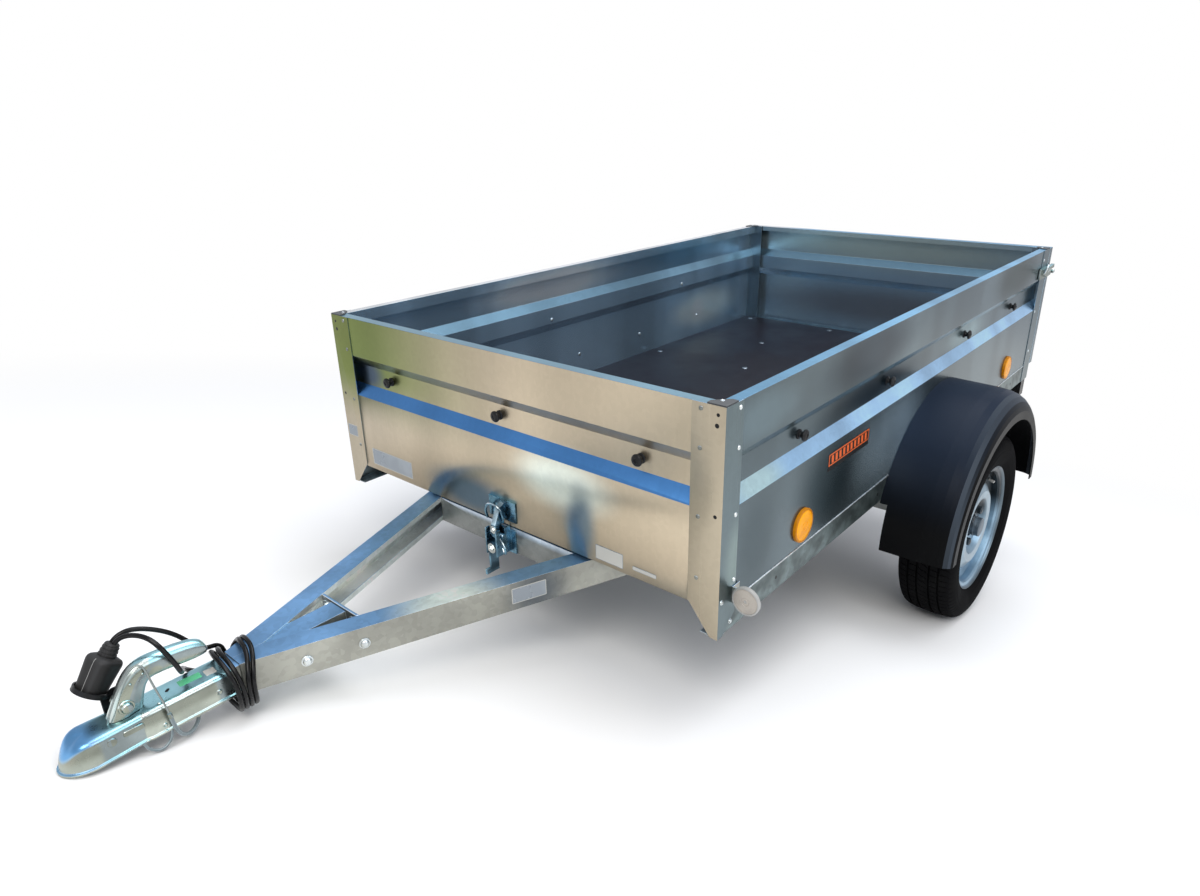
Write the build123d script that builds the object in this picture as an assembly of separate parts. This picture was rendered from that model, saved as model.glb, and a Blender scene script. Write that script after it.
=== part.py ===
from build123d import *
import os
from math import asin, atan2, cos, degrees, hypot, pi, radians, sin, sqrt, tan

# A single-axle utility trailer with a tilting sheet-steel bed and a hinged tailgate.
# Everything is drawn level first: x = 0 on the wheel axis, +x towards the coupling,
# +y to the left, z = 0 on the ground. Sizes are millimetres and degrees.
# At the end the whole trailer is pitched nose down until the coupling rests on the
# ground, and shifted so that the origin is under the middle of its bounding box.

# ---- driving sizes: bed ----
bed_width = 1200.0
bed_front_x = 1120.0
bed_rear_x = -1002.0
bed_top_z = 913.0
floor_top_z = 513.0
floor_thickness = 9.0
sheet_thickness = 1.5
post_thickness = 2.0
rail_height = 60.5
rail_width = 40.0
rail_thickness = 2.5
top_rail_width = 25.0
top_lip_depth = 30.0
ridge_depth = 20.0
ridge_steps = (100.0, 126.0, 178.0, 207.0)
floor_flange = 32.0
front_post_front_width = 71.0
front_post_side_width = 58.0
rear_post_side_width = 69.0
rear_post_rear_width = 58.0
mitre_gap = 0.1
fit_gap = 0.1

# ---- driving sizes: tailgate ----
gate_thickness = 30.0
gate_gap = 5.0
gate_bottom_z = 495.0
gate_edge_lip = 18.0
hinge_axis_inset = 7.0
hinge_axis_z = 478.0
hinge_pin_radius = 5.0
hinge_barrel_radius = 9.0
hinge_clearance = 0.05
hinge_side_y = 430.0
hinge_barrel_length = 22.0
hinge_side_gap = 1.0

# ---- driving sizes: chassis ----
member_top_z = 496.0
member_height = 64.0
member_width = 46.0
member_thickness = 3.0
member_lip = 12.0
member_y_at_bed = 272.0
member_y_at_neck = 38.0
neck_x = 1742.0
member_front_x = 1768.0
member_kink_y = 395.0
neck_tube_width = 50.0
neck_tube_thickness = 4.0
neck_tube_rear_reach = 190.0
neck_tube_front_reach = 130.0
neck_tube_rear_x = neck_x - neck_tube_rear_reach
neck_tube_front_x = neck_x + neck_tube_front_reach
front_beam_depth = 40.0
front_beam_setback = 5.0
brace_thickness = 6.0
pivot_x = -80.0
pivot_pin_radius = 8.0
pivot_plate_thickness = 6.0
pivot_side_gap = 5.0
pivot_clearance = 0.05

# ---- driving sizes: axle and wheels ----
tyre_radius = 272.0
tyre_width = 155.0
wheel_gap = 25.5
wheel_y = bed_width / 2 + wheel_gap + tyre_width / 2
rim_flange_radius = 182.5
bead_radius = 165.0
rim_half_width = 63.0
rim_thickness = 3.0
wheel_offset = 30.0
disc_thickness = 4.0
bolt_circle = 100.0
bolt_count = 4
bolt_hole_radius = 7.5
hub_radius = 62.0
hub_cap_radius = 27.0
stub_radius = 16.0
axle_tube = 60.0
axle_tube_thickness = 4.0
axle_lead = 128.0
axle_tube_z = 350.0
arm_width = 36.0
arm_gap_to_tyre = 26.0

# ---- driving sizes: coupling ----
ball_radius = 25.0
socket_clearance = 0.4
mouth_clearance = 0.3
coupling_nose_x = 2058.0
coupling_foot_z = 445.0
coupling_top_z = 495.0
coupling_rear_x = 1785.0
coupling_half_width = 31.0
coupling_flange_half_width = 39.0
coupling_flange_thickness = 4.0
coupling_wall = 2.0

# ---- derived levels ----
far = 3000.0
half_width = bed_width / 2
floor_bottom_z = floor_top_z - floor_thickness
rail_top_z = floor_bottom_z - sheet_thickness
rail_bottom_z = rail_top_z - rail_height
wall_y = half_width - post_thickness
wall_front_x = bed_front_x - post_thickness
bed_back_x = bed_rear_x + gate_thickness + gate_gap
wall_back_x = bed_back_x + post_thickness
member_bottom_z = member_top_z - member_height
member_mid_z = member_top_z - member_height / 2
member_slope = (member_y_at_bed - member_y_at_neck) / (neck_x - bed_front_x)
member_kink_x = bed_front_x - (member_kink_y - member_y_at_bed) / member_slope
axle_z = tyre_radius
ball_x = coupling_nose_x - coupling_flange_half_width
parts = {}


def box(x0, x1, y0, y1, z0, z1):
    """A box between two corners."""
    return Pos((x0 + x1) / 2, (y0 + y1) / 2, (z0 + z1) / 2) * Box(x1 - x0, y1 - y0, z1 - z0)


def rod(centre, direction, radius, length):
    """A round bar centred on a point."""
    plane = Plane(origin=centre, z_dir=direction)
    return plane * Cylinder(radius, length)


def mirrored(shape):
    """The same piece on the other side of the trailer."""
    return mirror(shape, about=Plane.XZ)


def ribbon(points, thickness):
    """Close a folded line into a sheet section, thickened to its right-hand side."""
    offset = []
    for i, (u, v) in enumerate(points):
        normals = []
        for j in (i - 1, i):
            if 0 <= j < len(points) - 1:
                du = points[j + 1][0] - points[j][0]
                dv = points[j + 1][1] - points[j][1]
                length = hypot(du, dv)
                normals.append((dv / length, -du / length))
        if len(normals) == 1:
            normals.append(normals[0])
        scale = 1 + normals[0][0] * normals[1][0] + normals[0][1] * normals[1][1]
        shift_u = (normals[0][0] + normals[1][0]) * thickness / scale
        shift_v = (normals[0][1] + normals[1][1]) * thickness / scale
        offset.append((u + shift_u, v + shift_v))
    return list(points) + offset[::-1]


def wall_section(bottom_z, bottom_flange, depth, lip):
    """Folded wall, as (depth behind the outer plane, height) points."""
    top = bed_top_z
    return ribbon([
        (bottom_flange, bottom_z),
        (0, bottom_z),
        (0, top - ridge_steps[3]),
        (ridge_depth, top - ridge_steps[2]),
        (ridge_depth, top - ridge_steps[1]),
        (0, top - ridge_steps[0]),
        (0, top),
        (depth, top),
        (depth, top - lip),
    ], sheet_thickness)


def prism_along_y(points_xz, y0, y1):
    """Extrude an x-z outline between two y values."""
    face = make_face(Polyline([(x, 0, z) for x, z in points_xz], close=True))
    return extrude(Pos(0, y0, 0) * face, amount=y1 - y0, dir=(0, 1, 0))


def prism_along_x(points_yz, x0, x1):
    """Extrude a y-z outline between two x values."""
    face = make_face(Polyline([(0, y, z) for y, z in points_yz], close=True))
    return extrude(Pos(x0, 0, 0) * face, amount=x1 - x0, dir=(1, 0, 0))


def prism_along_z(points_xy, z0, z1):
    """Extrude a plan outline between two heights."""
    face = make_face(Polyline([(x, y, 0) for x, y in points_xy], close=True))
    return extrude(Pos(0, 0, z0) * face, amount=z1 - z0, dir=(0, 0, 1))


# ---- bed walls ----
def front_wall():
    section = wall_section(rail_top_z, floor_flange, top_rail_width, top_lip_depth)
    sheet = prism_along_y([(wall_front_x - d, z) for d, z in section], -wall_y, wall_y)
    reach = wall_y
    mitre = prism_along_z([
        (wall_front_x + mitre_gap, wall_y),
        (wall_front_x + mitre_gap, -wall_y),
        (wall_front_x - reach, -wall_y + reach - mitre_gap),
        (wall_front_x - reach, wall_y - reach + mitre_gap),
    ], rail_top_z - 1, bed_top_z + 1)
    return sheet & mitre


def left_wall():
    section = wall_section(rail_top_z, floor_flange, top_rail_width, top_lip_depth)
    sheet = prism_along_x([(wall_y - d, z) for d, z in section], wall_back_x, wall_front_x)
    mitre = prism_along_z([
        (wall_front_x - mitre_gap, wall_y),
        (wall_back_x, wall_y),
        (wall_back_x, wall_y - 2 * floor_flange),
        (wall_front_x - mitre_gap - 2 * floor_flange, wall_y - 2 * floor_flange),
    ], rail_top_z - 1, bed_top_z + 1)
    return sheet & mitre


def floor_panel():
    inset = sheet_thickness + fit_gap
    return box(
        wall_back_x, wall_front_x - inset,
        -wall_y + inset, wall_y - inset,
        floor_bottom_z, floor_top_z,
    )


def left_side_rail():
    section = ribbon([
        (rail_width, rail_bottom_z),
        (0, rail_bottom_z),
        (0, rail_top_z),
        (rail_width, rail_top_z),
    ], rail_thickness)
    return prism_along_x([(wall_y - d, z) for d, z in section], wall_back_x, wall_front_x)


def rear_sill():
    end_y = wall_y - rail_width - fit_gap
    section = ribbon([
        (rail_width, rail_bottom_z),
        (0, rail_bottom_z),
        (0, rail_top_z),
        (rail_width, rail_top_z),
    ], rail_thickness)
    points = [(wall_back_x + d, z) for d, z in section]
    return prism_along_y(points, -end_y, end_y)


# ---- corner posts ----
front_taper = ((71.0, 508.0), (18.0, 441.5), (0.0, 440.0))
side_taper_top_z = 478.0


def left_front_post():
    front = prism_along_x([
        (half_width, bed_top_z),
        (half_width - front_post_front_width, bed_top_z),
        (half_width - front_post_front_width, front_taper[0][1]),
        (half_width - front_taper[1][0], front_taper[1][1]),
        (half_width, front_taper[2][1]),
    ], wall_front_x, bed_front_x)
    side = prism_along_y([
        (bed_front_x, bed_top_z),
        (bed_front_x - front_post_side_width, bed_top_z),
        (bed_front_x - front_post_side_width, side_taper_top_z),
        (bed_front_x - front_taper[1][0], front_taper[1][1]),
        (bed_front_x, front_taper[2][1]),
    ], wall_y, half_width)
    return front + side


def left_rear_post():
    side = box(
        bed_back_x, bed_back_x + rear_post_side_width,
        wall_y, half_width, rail_bottom_z, bed_top_z,
    )
    rear = box(
        bed_back_x, wall_back_x,
        half_width - rear_post_rear_width, half_width, rail_bottom_z, bed_top_z,
    )
    return side + rear


# ---- chassis ----
def member_section():
    """C-section open inwards, as (distance from the outer face, height) points."""
    return ribbon([
        (member_width, member_bottom_z + member_lip),
        (member_width, member_bottom_z),
        (0, member_bottom_z),
        (0, member_top_z),
        (member_width, member_top_z),
        (member_width, member_top_z - member_lip),
    ], member_thickness)


def left_member():
    rear_x = pivot_x - 40
    slope_angle = atan2(member_slope, 1)
    front = (member_front_x, member_y_at_neck - (member_front_x - neck_x) * member_slope)
    kink = (member_kink_x, member_kink_y)
    run = hypot(front[0] - kink[0], front[1] - kink[1])
    over = 60.0
    section = member_section()
    straight = prism_along_x(
        [(member_kink_y - d, z) for d, z in section], rear_x, kink[0] + over)
    slanted = prism_along_x([(-d, z) for d, z in section], -over, run + over)
    slanted = Pos(kink[0], kink[1], 0) * Rot(0, 0, -degrees(slope_angle)) * slanted
    half = slope_angle / 2
    front_side = prism_along_z([
        (kink[0] + far * sin(-half), kink[1] - far * cos(half)),
        (kink[0] + far, kink[1] - far),
        (kink[0] + far, kink[1] + far),
        (kink[0] - far * sin(-half), kink[1] + far * cos(half)),
    ], 0, bed_top_z)
    trim = box(-far, member_front_x, fit_gap, far, 0, bed_top_z)
    member = (straight - front_side) + (slanted & front_side)
    member = member & trim
    member -= prism_along_y([
        (pivot_x - 10, member_top_z + 1),
        (pivot_x - 10, member_top_z),
        (rear_x - 1, member_mid_z + 13.5),
        (rear_x - 1, member_top_z + 1),
    ], 0, half_width)
    hole = rod(
        (pivot_x, member_kink_y, member_mid_z), (0, 1, 0),
        pivot_pin_radius, 4 * member_thickness)
    tube_room = box(
        neck_tube_rear_x - 1, member_front_x + 1,
        -1, neck_tube_width / 2 + fit_gap,
        member_bottom_z + member_thickness, member_top_z - member_thickness)
    return member - hole - tube_room


def front_crossbeam():
    """A box beam between the two members, just behind the front wall."""
    front_x = bed_front_x - front_beam_setback
    rear_x = front_x - front_beam_depth
    inner = member_width / cos(atan2(member_slope, 1)) + fit_gap
    y_front = member_y_at_bed + front_beam_setback * member_slope - inner
    y_rear = y_front + front_beam_depth * member_slope
    outer = prism_along_z([
        (front_x, -y_front), (front_x, y_front), (rear_x, y_rear), (rear_x, -y_rear),
    ], member_bottom_z, member_top_z)
    t = member_thickness
    hollow = box(
        rear_x + t, front_x - t, -half_width, half_width,
        member_bottom_z + t, member_top_z - t)
    return outer - hollow


def neck_tube():
    top = member_top_z - member_thickness - fit_gap
    bottom = member_bottom_z + member_thickness + fit_gap
    half = neck_tube_width / 2
    t = neck_tube_thickness
    outer = box(neck_tube_rear_x, neck_tube_front_x, -half, half, bottom, top)
    inner = box(
        neck_tube_rear_x - 1, neck_tube_front_x + 1,
        -half + t, half - t, bottom + t, top - t)
    return outer - inner


def neck_brace():
    """An upright plate between the two members, behind the neck tube."""
    front = neck_tube_rear_x
    rear = front - brace_thickness
    inner = member_width / cos(atan2(member_slope, 1)) + fit_gap
    y_rear = member_y_at_neck + (neck_x - rear) * member_slope - inner
    y_front = member_y_at_neck + (neck_x - front) * member_slope - inner
    return prism_along_z([
        (front, -y_front), (front, y_front), (rear, y_rear), (rear, -y_rear),
    ], member_bottom_z, member_top_z)


def axle_beam():
    half = axle_tube / 2
    end_y = wheel_y - tyre_width / 2 - arm_gap_to_tyre - arm_width
    t = axle_tube_thickness
    outer = box(
        axle_lead - half, axle_lead + half, -end_y, end_y,
        axle_tube_z - half, axle_tube_z + half)
    inner = box(
        axle_lead - half + t, axle_lead + half - t, -end_y - 1, end_y + 1,
        axle_tube_z - half + t, axle_tube_z + half - t)
    return outer - inner


def left_axle_bracket():
    """A folded saddle between the axle tube and the member above it."""
    y1 = member_kink_y
    y0 = member_kink_y - member_width
    z0 = axle_tube_z + axle_tube / 2
    half = axle_tube / 2 + 10
    t = 5.0
    section = ribbon([
        (axle_lead + half, z0),
        (axle_lead - half, z0),
        (axle_lead - half, member_bottom_z),
        (axle_lead + half, member_bottom_z),
    ], t)
    return prism_along_y(section, y0, y1)


def left_arm():
    y1 = wheel_y - tyre_width / 2 - arm_gap_to_tyre
    y0 = y1 - arm_width
    big = rod((axle_lead, (y0 + y1) / 2, axle_tube_z), (0, 1, 0), axle_tube / 2 + 6, arm_width)
    small = rod((0, (y0 + y1) / 2, axle_z), (0, 1, 0), 30, arm_width)
    length = hypot(axle_lead, axle_tube_z - axle_z)
    angle = atan2(axle_tube_z - axle_z, axle_lead)
    web = Pos(axle_lead / 2, (y0 + y1) / 2, (axle_z + axle_tube_z) / 2)
    web = web * Rot(0, -degrees(angle), 0) * Box(length, arm_width - 10, 46)
    return big + small + web


def left_stub():
    arm_face = wheel_y - tyre_width / 2 - arm_gap_to_tyre
    end_y = wheel_y + wheel_offset + 24
    return rod((0, (arm_face + end_y) / 2, axle_z), (0, 1, 0), stub_radius, end_y - arm_face)


def left_pivot_pin():
    y0 = member_kink_y - member_thickness - 6
    y1 = member_kink_y + pivot_side_gap + pivot_plate_thickness + 8
    return rod((pivot_x, (y0 + y1) / 2, member_mid_z), (0, 1, 0), pivot_pin_radius, y1 - y0)


# ---- wheels ----
def revolve_wheel(points):
    """Turn (radius, y) points about the wheel axis, on the left side."""
    face = make_face(Polyline([(0, y, axle_z + r) for r, y in points], close=True))
    return revolve(face, axis=Axis((0, 0, axle_z), (0, 1, 0)))


def left_tyre():
    half = tyre_width / 2
    rim = rim_half_width
    side = [
        (tyre_radius - 16, half - 28), (tyre_radius - 24, half - 18),
        (bead_radius + 60, half - 8), (bead_radius + 12, half - 32),
        (bead_radius, half - 36), (bead_radius, rim - 14), (bead_radius + 2, rim - 9.8),
        (rim_flange_radius - 6.8, rim - 8.3), (rim_flange_radius + 0.2, rim - 0.3),
        (rim_flange_radius + 6, rim + 5), (bead_radius + 38, half - 2),
        (bead_radius + 54, half), (bead_radius + 70, half - 2),
        (tyre_radius - 17, half - 10), (tyre_radius - 5, half - 18),
        (tyre_radius - 1.5, half - 30), (tyre_radius, half - 46),
    ]
    outline = side + [(r, -y) for r, y in reversed(side)]
    return revolve_wheel([(r, wheel_y + y) for r, y in outline])


def left_rim():
    seat = bead_radius - 0.3
    half = rim_half_width
    section = ribbon([
        (rim_flange_radius, half),
        (rim_flange_radius - 7, half - 8),
        (seat + 2, half - 9.5),
        (seat, half - 13),
        (seat - 1, half - 30),
        (seat - 22, half - 40),
        (seat - 22, -half + 44),
        (seat - 1, -half + 32),
        (seat, -half + 13),
        (seat + 2, -half + 9.5),
        (rim_flange_radius - 7, -half + 8),
        (rim_flange_radius, -half),
    ], rim_thickness)
    barrel = revolve_wheel([(r, wheel_y + y) for r, y in section])
    face = wheel_offset
    disc_section = ribbon([
        (33, face),
        (70, face),
        (84, face + 15),
        (104, face + 17),
        (126, face + 4),
        (seat - 22 - rim_thickness - 2.4, face - 18),
        (seat - 22 - rim_thickness, face - 36),
    ], -disc_thickness)
    disc = revolve_wheel([(r, wheel_y + y) for r, y in disc_section])
    wheel = barrel + disc
    for i in range(bolt_count):
        turn = radians(45 + 360 * i / bolt_count)
        x = bolt_circle / 2 * cos(turn)
        z = axle_z + bolt_circle / 2 * sin(turn)
        wheel -= rod((x, wheel_y + face, z), (0, 1, 0), bolt_hole_radius, 40)
    return wheel


def left_hub():
    face = wheel_y + wheel_offset
    rear_y = wheel_y - tyre_width / 2 - arm_gap_to_tyre + 6
    drum = rod((0, (rear_y + face - 10) / 2, axle_z), (0, 1, 0), 38, face - 10 - rear_y)
    flange = rod((0, face - 5, axle_z), (0, 1, 0), hub_radius, 10)
    cap = rod((0, face + 15, axle_z), (0, 1, 0), hub_cap_radius, 30)
    hub = drum + flange + cap
    end_y = face + 24.5
    bore = rod(
        (0, (rear_y - 1 + end_y) / 2, axle_z), (0, 1, 0),
        stub_radius + hinge_clearance, end_y - rear_y + 1)
    hub -= bore
    for i in range(bolt_count):
        turn = radians(45 + 360 * i / bolt_count)
        x = bolt_circle / 2 * cos(turn)
        z = axle_z + bolt_circle / 2 * sin(turn)
        hub += rod((x, face + 8, z), (0, 1, 0), 7.2, 20)
        hub += rod((x, face + disc_thickness + 6, z), (0, 1, 0), 9.5, 11.8)
    return hub


# ---- fenders ----
fender_levels = (
    # distance from the bed side, half length, height of the arch
    (0.0, 376.0, 358.0),
    (120.0, 375.0, 354.0),
    (150.0, 373.0, 350.0),
    (168.0, 371.0, 344.0),
    (180.0, 368.0, 336.0),
    (190.0, 362.0, 324.0),
    (196.0, 357.0, 312.0),
    (200.0, 350.0, 299.0),
)
fender_foot_z = 315.0
fender_wall = 3.0
fender_lip = 24.0
fender_notch = 20.0
fender_notch_top_z = 436.0


def arch_face(y, half_length, height):
    """A half ellipse standing on the fender's foot line."""
    arch = EllipticalCenterArc((0, 0), half_length, height, start_angle=0, arc_size=180)
    base = Line(arch @ 1, arch @ 0)
    face = make_face([arch, base])
    plane = Plane(origin=(0, y, fender_foot_z), x_dir=(1, 0, 0), z_dir=(0, -1, 0))
    return plane * face


def left_fender():
    outer_faces = [arch_face(wall_y + y, a, b) for y, a, b in fender_levels]
    inner_faces = [
        arch_face(wall_y + y, a - fender_wall, b - fender_wall)
        for y, a, b in fender_levels]
    outer = loft(outer_faces, ruled=True)
    inner = loft(inner_faces, ruled=True)
    side_y = wall_y + fender_levels[-1][0]
    last = fender_levels[-1]
    mouth = extrude(
        arch_face(side_y - fender_wall - 1, last[1] - fender_lip, last[2] - fender_lip),
        amount=-2 * fender_wall - 2)
    skin = box(-far, far, side_y - fender_wall, far, 0, bed_top_z)
    notch = box(-far, far, wall_y - 1, wall_y + fender_notch, 0, fender_notch_top_z)
    return outer - (inner - skin) - mouth - notch


# ---- coupling ----
coupling_front_slope = (
    # distance behind the nose, drop below the top
    (73.0, 0.0), (53.0, 2.0), (39.0, 5.5), (26.0, 11.0), (16.0, 19.5), (8.0, 32.0), (3.0, 46.0),
)
coupling_step_x = coupling_nose_x - 130
coupling_step = 2.0
coupling_edge_radius = 9.0


def round_topped(x0, x1, half):
    """A channel blank with its two long top edges rounded."""
    blank = box(x0, x1, -half, half, coupling_foot_z, coupling_top_z)
    return fillet(blank.edges().filter_by(Axis.X).group_by(Axis.Z)[-1], coupling_edge_radius)


def coupling_body():
    top = coupling_top_z
    foot = coupling_foot_z
    ball_z = top - ball_radius - 10
    dome_r = ball_radius + 10
    rear = round_topped(coupling_rear_x, coupling_step_x, coupling_half_width + coupling_step)
    front = round_topped(coupling_step_x - 1, coupling_nose_x, dome_r)
    slope = [(coupling_nose_x - back, top - drop) for back, drop in coupling_front_slope]
    front &= prism_along_y(
        [(coupling_step_x - 1, foot), (coupling_step_x - 1, top)] + slope
        + [(slope[-1][0], foot)], -dome_r, dome_r)
    plan = rod((ball_x, 0, (foot + top) / 2), (0, 0, 1), dome_r, top - foot)
    plan += prism_along_z([
        (coupling_step_x - 1, coupling_half_width), (ball_x, dome_r),
        (ball_x, -dome_r), (coupling_step_x - 1, -coupling_half_width),
    ], foot, top)
    flange = box(
        coupling_rear_x, ball_x, -coupling_flange_half_width, coupling_flange_half_width,
        foot, foot + coupling_flange_thickness)
    nose = rod(
        (ball_x, 0, foot + coupling_flange_thickness / 2), (0, 0, 1),
        coupling_flange_half_width, coupling_flange_thickness)
    body = rear + (front & plan) + flange + nose
    w = coupling_half_width - coupling_wall
    inner_top = member_top_z - member_thickness
    hollow = box(coupling_rear_x - 1, ball_x - dome_r - 1, -w, w, foot - 1, inner_top)
    socket_r = ball_radius + socket_clearance
    socket = Pos(ball_x, 0, ball_z) * Sphere(socket_r)
    mouth = rod(
        (ball_x, 0, (foot + ball_z) / 2), (0, 0, 1), socket_r + mouth_clearance, ball_z - foot)
    return body - hollow - socket - mouth


handle_outline = (
    (1975.0, 0.0), (1966.0, 30.0), (1951.0, 54.0), (1932.0, 73.0), (1910.0, 80.0),
    (1885.0, 77.0), (1861.0, 70.0), (1835.0, 62.0), (1810.0, 57.0), (1808.0, 47.0),
    (1839.0, 46.0), (1872.0, 42.0), (1902.0, 36.0), (1914.0, 20.0), (1921.0, 0.0),
)
handle_width = 34.0


def coupling_handle():
    points = [(x, 0, coupling_top_z + fit_gap + z) for x, z in handle_outline]
    upper = Spline(points[:9])
    tip = Line(points[8], points[9])
    lower = Spline(points[9:])
    base = Line(points[-1], points[0])
    face = make_face([upper, tip, lower, base])
    return extrude(Pos(0, -handle_width / 2, 0) * face, amount=handle_width, dir=(0, 1, 0))


# ---- tilt latch, at the middle of the front ----
latch_y = 14.0
latch_pin_x = bed_front_x + 24
latch_pin_z = member_top_z - 10
latch_pin_radius = 6.0
latch_slot_gap = 1.0
latch_cheek = 4.0
latch_cheek_inner = 15.0


latch_plate_low_z = floor_top_z + 3
latch_plate_high_z = latch_plate_low_z + 50
latch_nose_half = 10.0
latch_nose_low_z = latch_pin_z - latch_pin_radius
latch_plate_half = 44.0
latch_base_half = 34.0


def tilt_latch_upper():
    """A bracket on the front wall with a nose that carries a cross pin."""
    plate = box(
        bed_front_x - post_thickness, bed_front_x + 3,
        latch_y - latch_plate_half, latch_y + latch_plate_half,
        latch_plate_low_z, latch_plate_high_z)
    nose_front = latch_pin_x + latch_nose_half
    nose_rear = latch_pin_x - latch_nose_half
    nose = prism_along_y([
        (bed_front_x, latch_plate_high_z - 6), (bed_front_x + 16, latch_plate_high_z - 14),
        (nose_front, floor_top_z - 1), (nose_front, latch_nose_low_z),
        (nose_rear, latch_nose_low_z), (nose_rear, floor_top_z - 1),
        (bed_front_x, latch_plate_low_z + 8),
    ], latch_y - 7, latch_y + 7)
    pin = rod((latch_pin_x, latch_y, latch_pin_z), (0, 1, 0), latch_pin_radius, 50)
    return plate + nose + pin


def tilt_latch_lower():
    """A pair of slotted cheeks on the crossbeam, with a release leg."""
    front_x = bed_front_x - front_beam_setback
    face_x = front_x + latch_cheek
    low_y = latch_y - latch_base_half
    body = box(
        front_x, face_x, low_y, latch_y + latch_base_half,
        member_bottom_z, member_top_z - latch_cheek)
    for side in (-1, 1):
        y0 = latch_y + side * latch_cheek_inner
        y1 = y0 + side * latch_cheek
        body += box(
            face_x, latch_pin_x + 20, min(y0, y1), max(y0, y1),
            member_bottom_z + 6, latch_pin_z + 18)
    slot_r = latch_pin_radius + latch_slot_gap
    slot = rod((latch_pin_x, latch_y, latch_pin_z), (0, 1, 0), slot_r, 60)
    slot += box(
        latch_pin_x - slot_r, latch_pin_x + slot_r, latch_y - 30, latch_y + 30,
        latch_pin_z, latch_plate_high_z)
    leg_y = low_y + 5
    leg = box(face_x, face_x + 26, low_y, leg_y, member_bottom_z - 52, member_top_z - 26)
    foot = box(face_x, face_x + 40, low_y, leg_y, member_bottom_z - 60, member_bottom_z - 46)
    return body - slot + leg + foot


# ---- connecting lead, its coil and plug, and the breakaway wire ----
lead_diameter = 8.5
wire_diameter = 3.5
corner_share = 0.45
coil_rear_x = neck_x
coil_length = 38.0
coil_inner_radius = 54.0
coil_outer_radius = 63.0
coil_centre_z = member_top_z - sqrt(coil_inner_radius ** 2 - member_y_at_neck ** 2)
plug_nose = (1975.0, -53.0, 525.0)
plug_axis = (0.6, 0.0, -0.8)
plug_shape = (
    # front radius, rear radius, length from the nose backwards
    (26.0, 20.0, 48.0), (14.0, 13.0, 20.0), (10.5, 10.5, 8.0),
)
upper_route = (
    (1929.4, -57.6, 585.8), (1924.4, -57.6, 592.5), (1913.5, -56.5, 598.0),
    (1898.5, -54.5, 600.0), (1881.5, -51.0, 596.5), (1864.0, -47.5, 588.0),
    (1847.0, -44.5, 575.5), (1832.0, -42.0, 559.5), (1819.5, -40.5, 541.5),
    (1809.0, -39.5, 523.0), (1797.5, -39.0, 507.5), (1776.0, -39.5, 501.5),
)
lower_route = (
    (1929.4, -48.4, 585.8), (1924.4, -48.4, 592.5), (1916.0, -42.0, 599.5),
    (1905.0, -29.5, 605.0), (1894.5, -12.5, 607.5), (1886.5, 4.5, 603.5),
    (1880.5, 18.0, 592.5), (1875.0, 25.5, 578.0), (1869.5, 28.0, 562.5),
    (1864.5, 28.0, 546.5), (1859.5, 21.5, 531.5), (1854.0, 7.5, 521.5),
    (1848.5, -9.0, 514.5), (1843.0, -25.0, 507.0), (1836.5, -37.5, 496.0),
    (1827.0, -43.5, 483.0), (1813.0, -47.0, 474.0), (1796.0, -51.5, 470.0),
    (1776.0, -56.5, 470.0),
)
tail_route = (
    (1746.0, -56.0, 475.0), (1730.0, -58.6, 473.0), (1711.0, -62.6, 468.5),
    (1690.0, -67.0, 465.0),
)
wire_route = (
    (1978.0, 8.0, 495.0), (1978.0, 8.0, 506.0), (1971.0, 8.0, 527.0),
    (1956.0, 8.0, 553.0), (1938.0, 9.5, 572.5), (1919.5, 14.0, 581.0),
    (1911.5, 21.5, 574.0), (1909.5, 24.0, 561.0), (1908.0, 29.0, 544.0),
    (1905.0, 36.5, 523.0), (1901.0, 42.0, 500.5), (1898.5, 43.7, 476.5),
    (1896.0, 43.2, 455.5), (1891.0, 40.5, 436.0), (1881.0, 34.0, 420.5),
    (1867.0, 25.0, 413.5), (1854.0, 15.5, 416.0), (1846.0, 9.2, 424.5),
    (1846.0, 9.2, 435.1),
)
gland_front_x = 1694.0
gland_rear_x = 1664.0
gland_reach = 21.0
gland_half_height = 11.0


def cord(name, points, diameter):
    """A round cord on straight runs joined by tangent arcs."""
    corners = [Vector(*point) for point in points]
    radii = []
    for before, corner, after in zip(corners, corners[1:], corners[2:]):
        run_in = corner - before
        run_out = after - corner
        half_turn = radians(run_in.get_angle(run_out)) / 2
        radii.append(corner_share * min(run_in.length, run_out.length) / tan(half_turn))
    path = FilletPolyline(*corners, radius=radii)
    section = Plane(origin=path @ 0, z_dir=path % 0) * Circle(diameter / 2)
    tube = sweep(section, path=path)
    area = pi * diameter ** 2 / 4
    print(name, "radii", [round(r) for r in radii], "length", round(path.length),
          "filled", round(tube.volume / (area * path.length), 3))
    return tube


def lead_coil():
    """The wound turns of the lead as one ring round the neck."""
    middle = (coil_rear_x + coil_length / 2, 0, coil_centre_z)
    ring = rod(middle, (1, 0, 0), coil_outer_radius, coil_length)
    return ring - rod(middle, (1, 0, 0), coil_inner_radius, coil_length + 2)


def trailer_plug():
    """Tapered round plug: shell, boot and gland, one behind the other."""
    nose = Vector(*plug_nose)
    back = -Vector(*plug_axis)
    start = 0.0
    plug = None
    for front_radius, rear_radius, length in plug_shape:
        plane = Plane(origin=nose + back * (start + length / 2), z_dir=back)
        piece = plane * (
            Cylinder(front_radius, length) if front_radius == rear_radius
            else Cone(front_radius, rear_radius, length))
        plug = piece if plug is None else plug + piece
        start += length
    return plug


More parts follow.
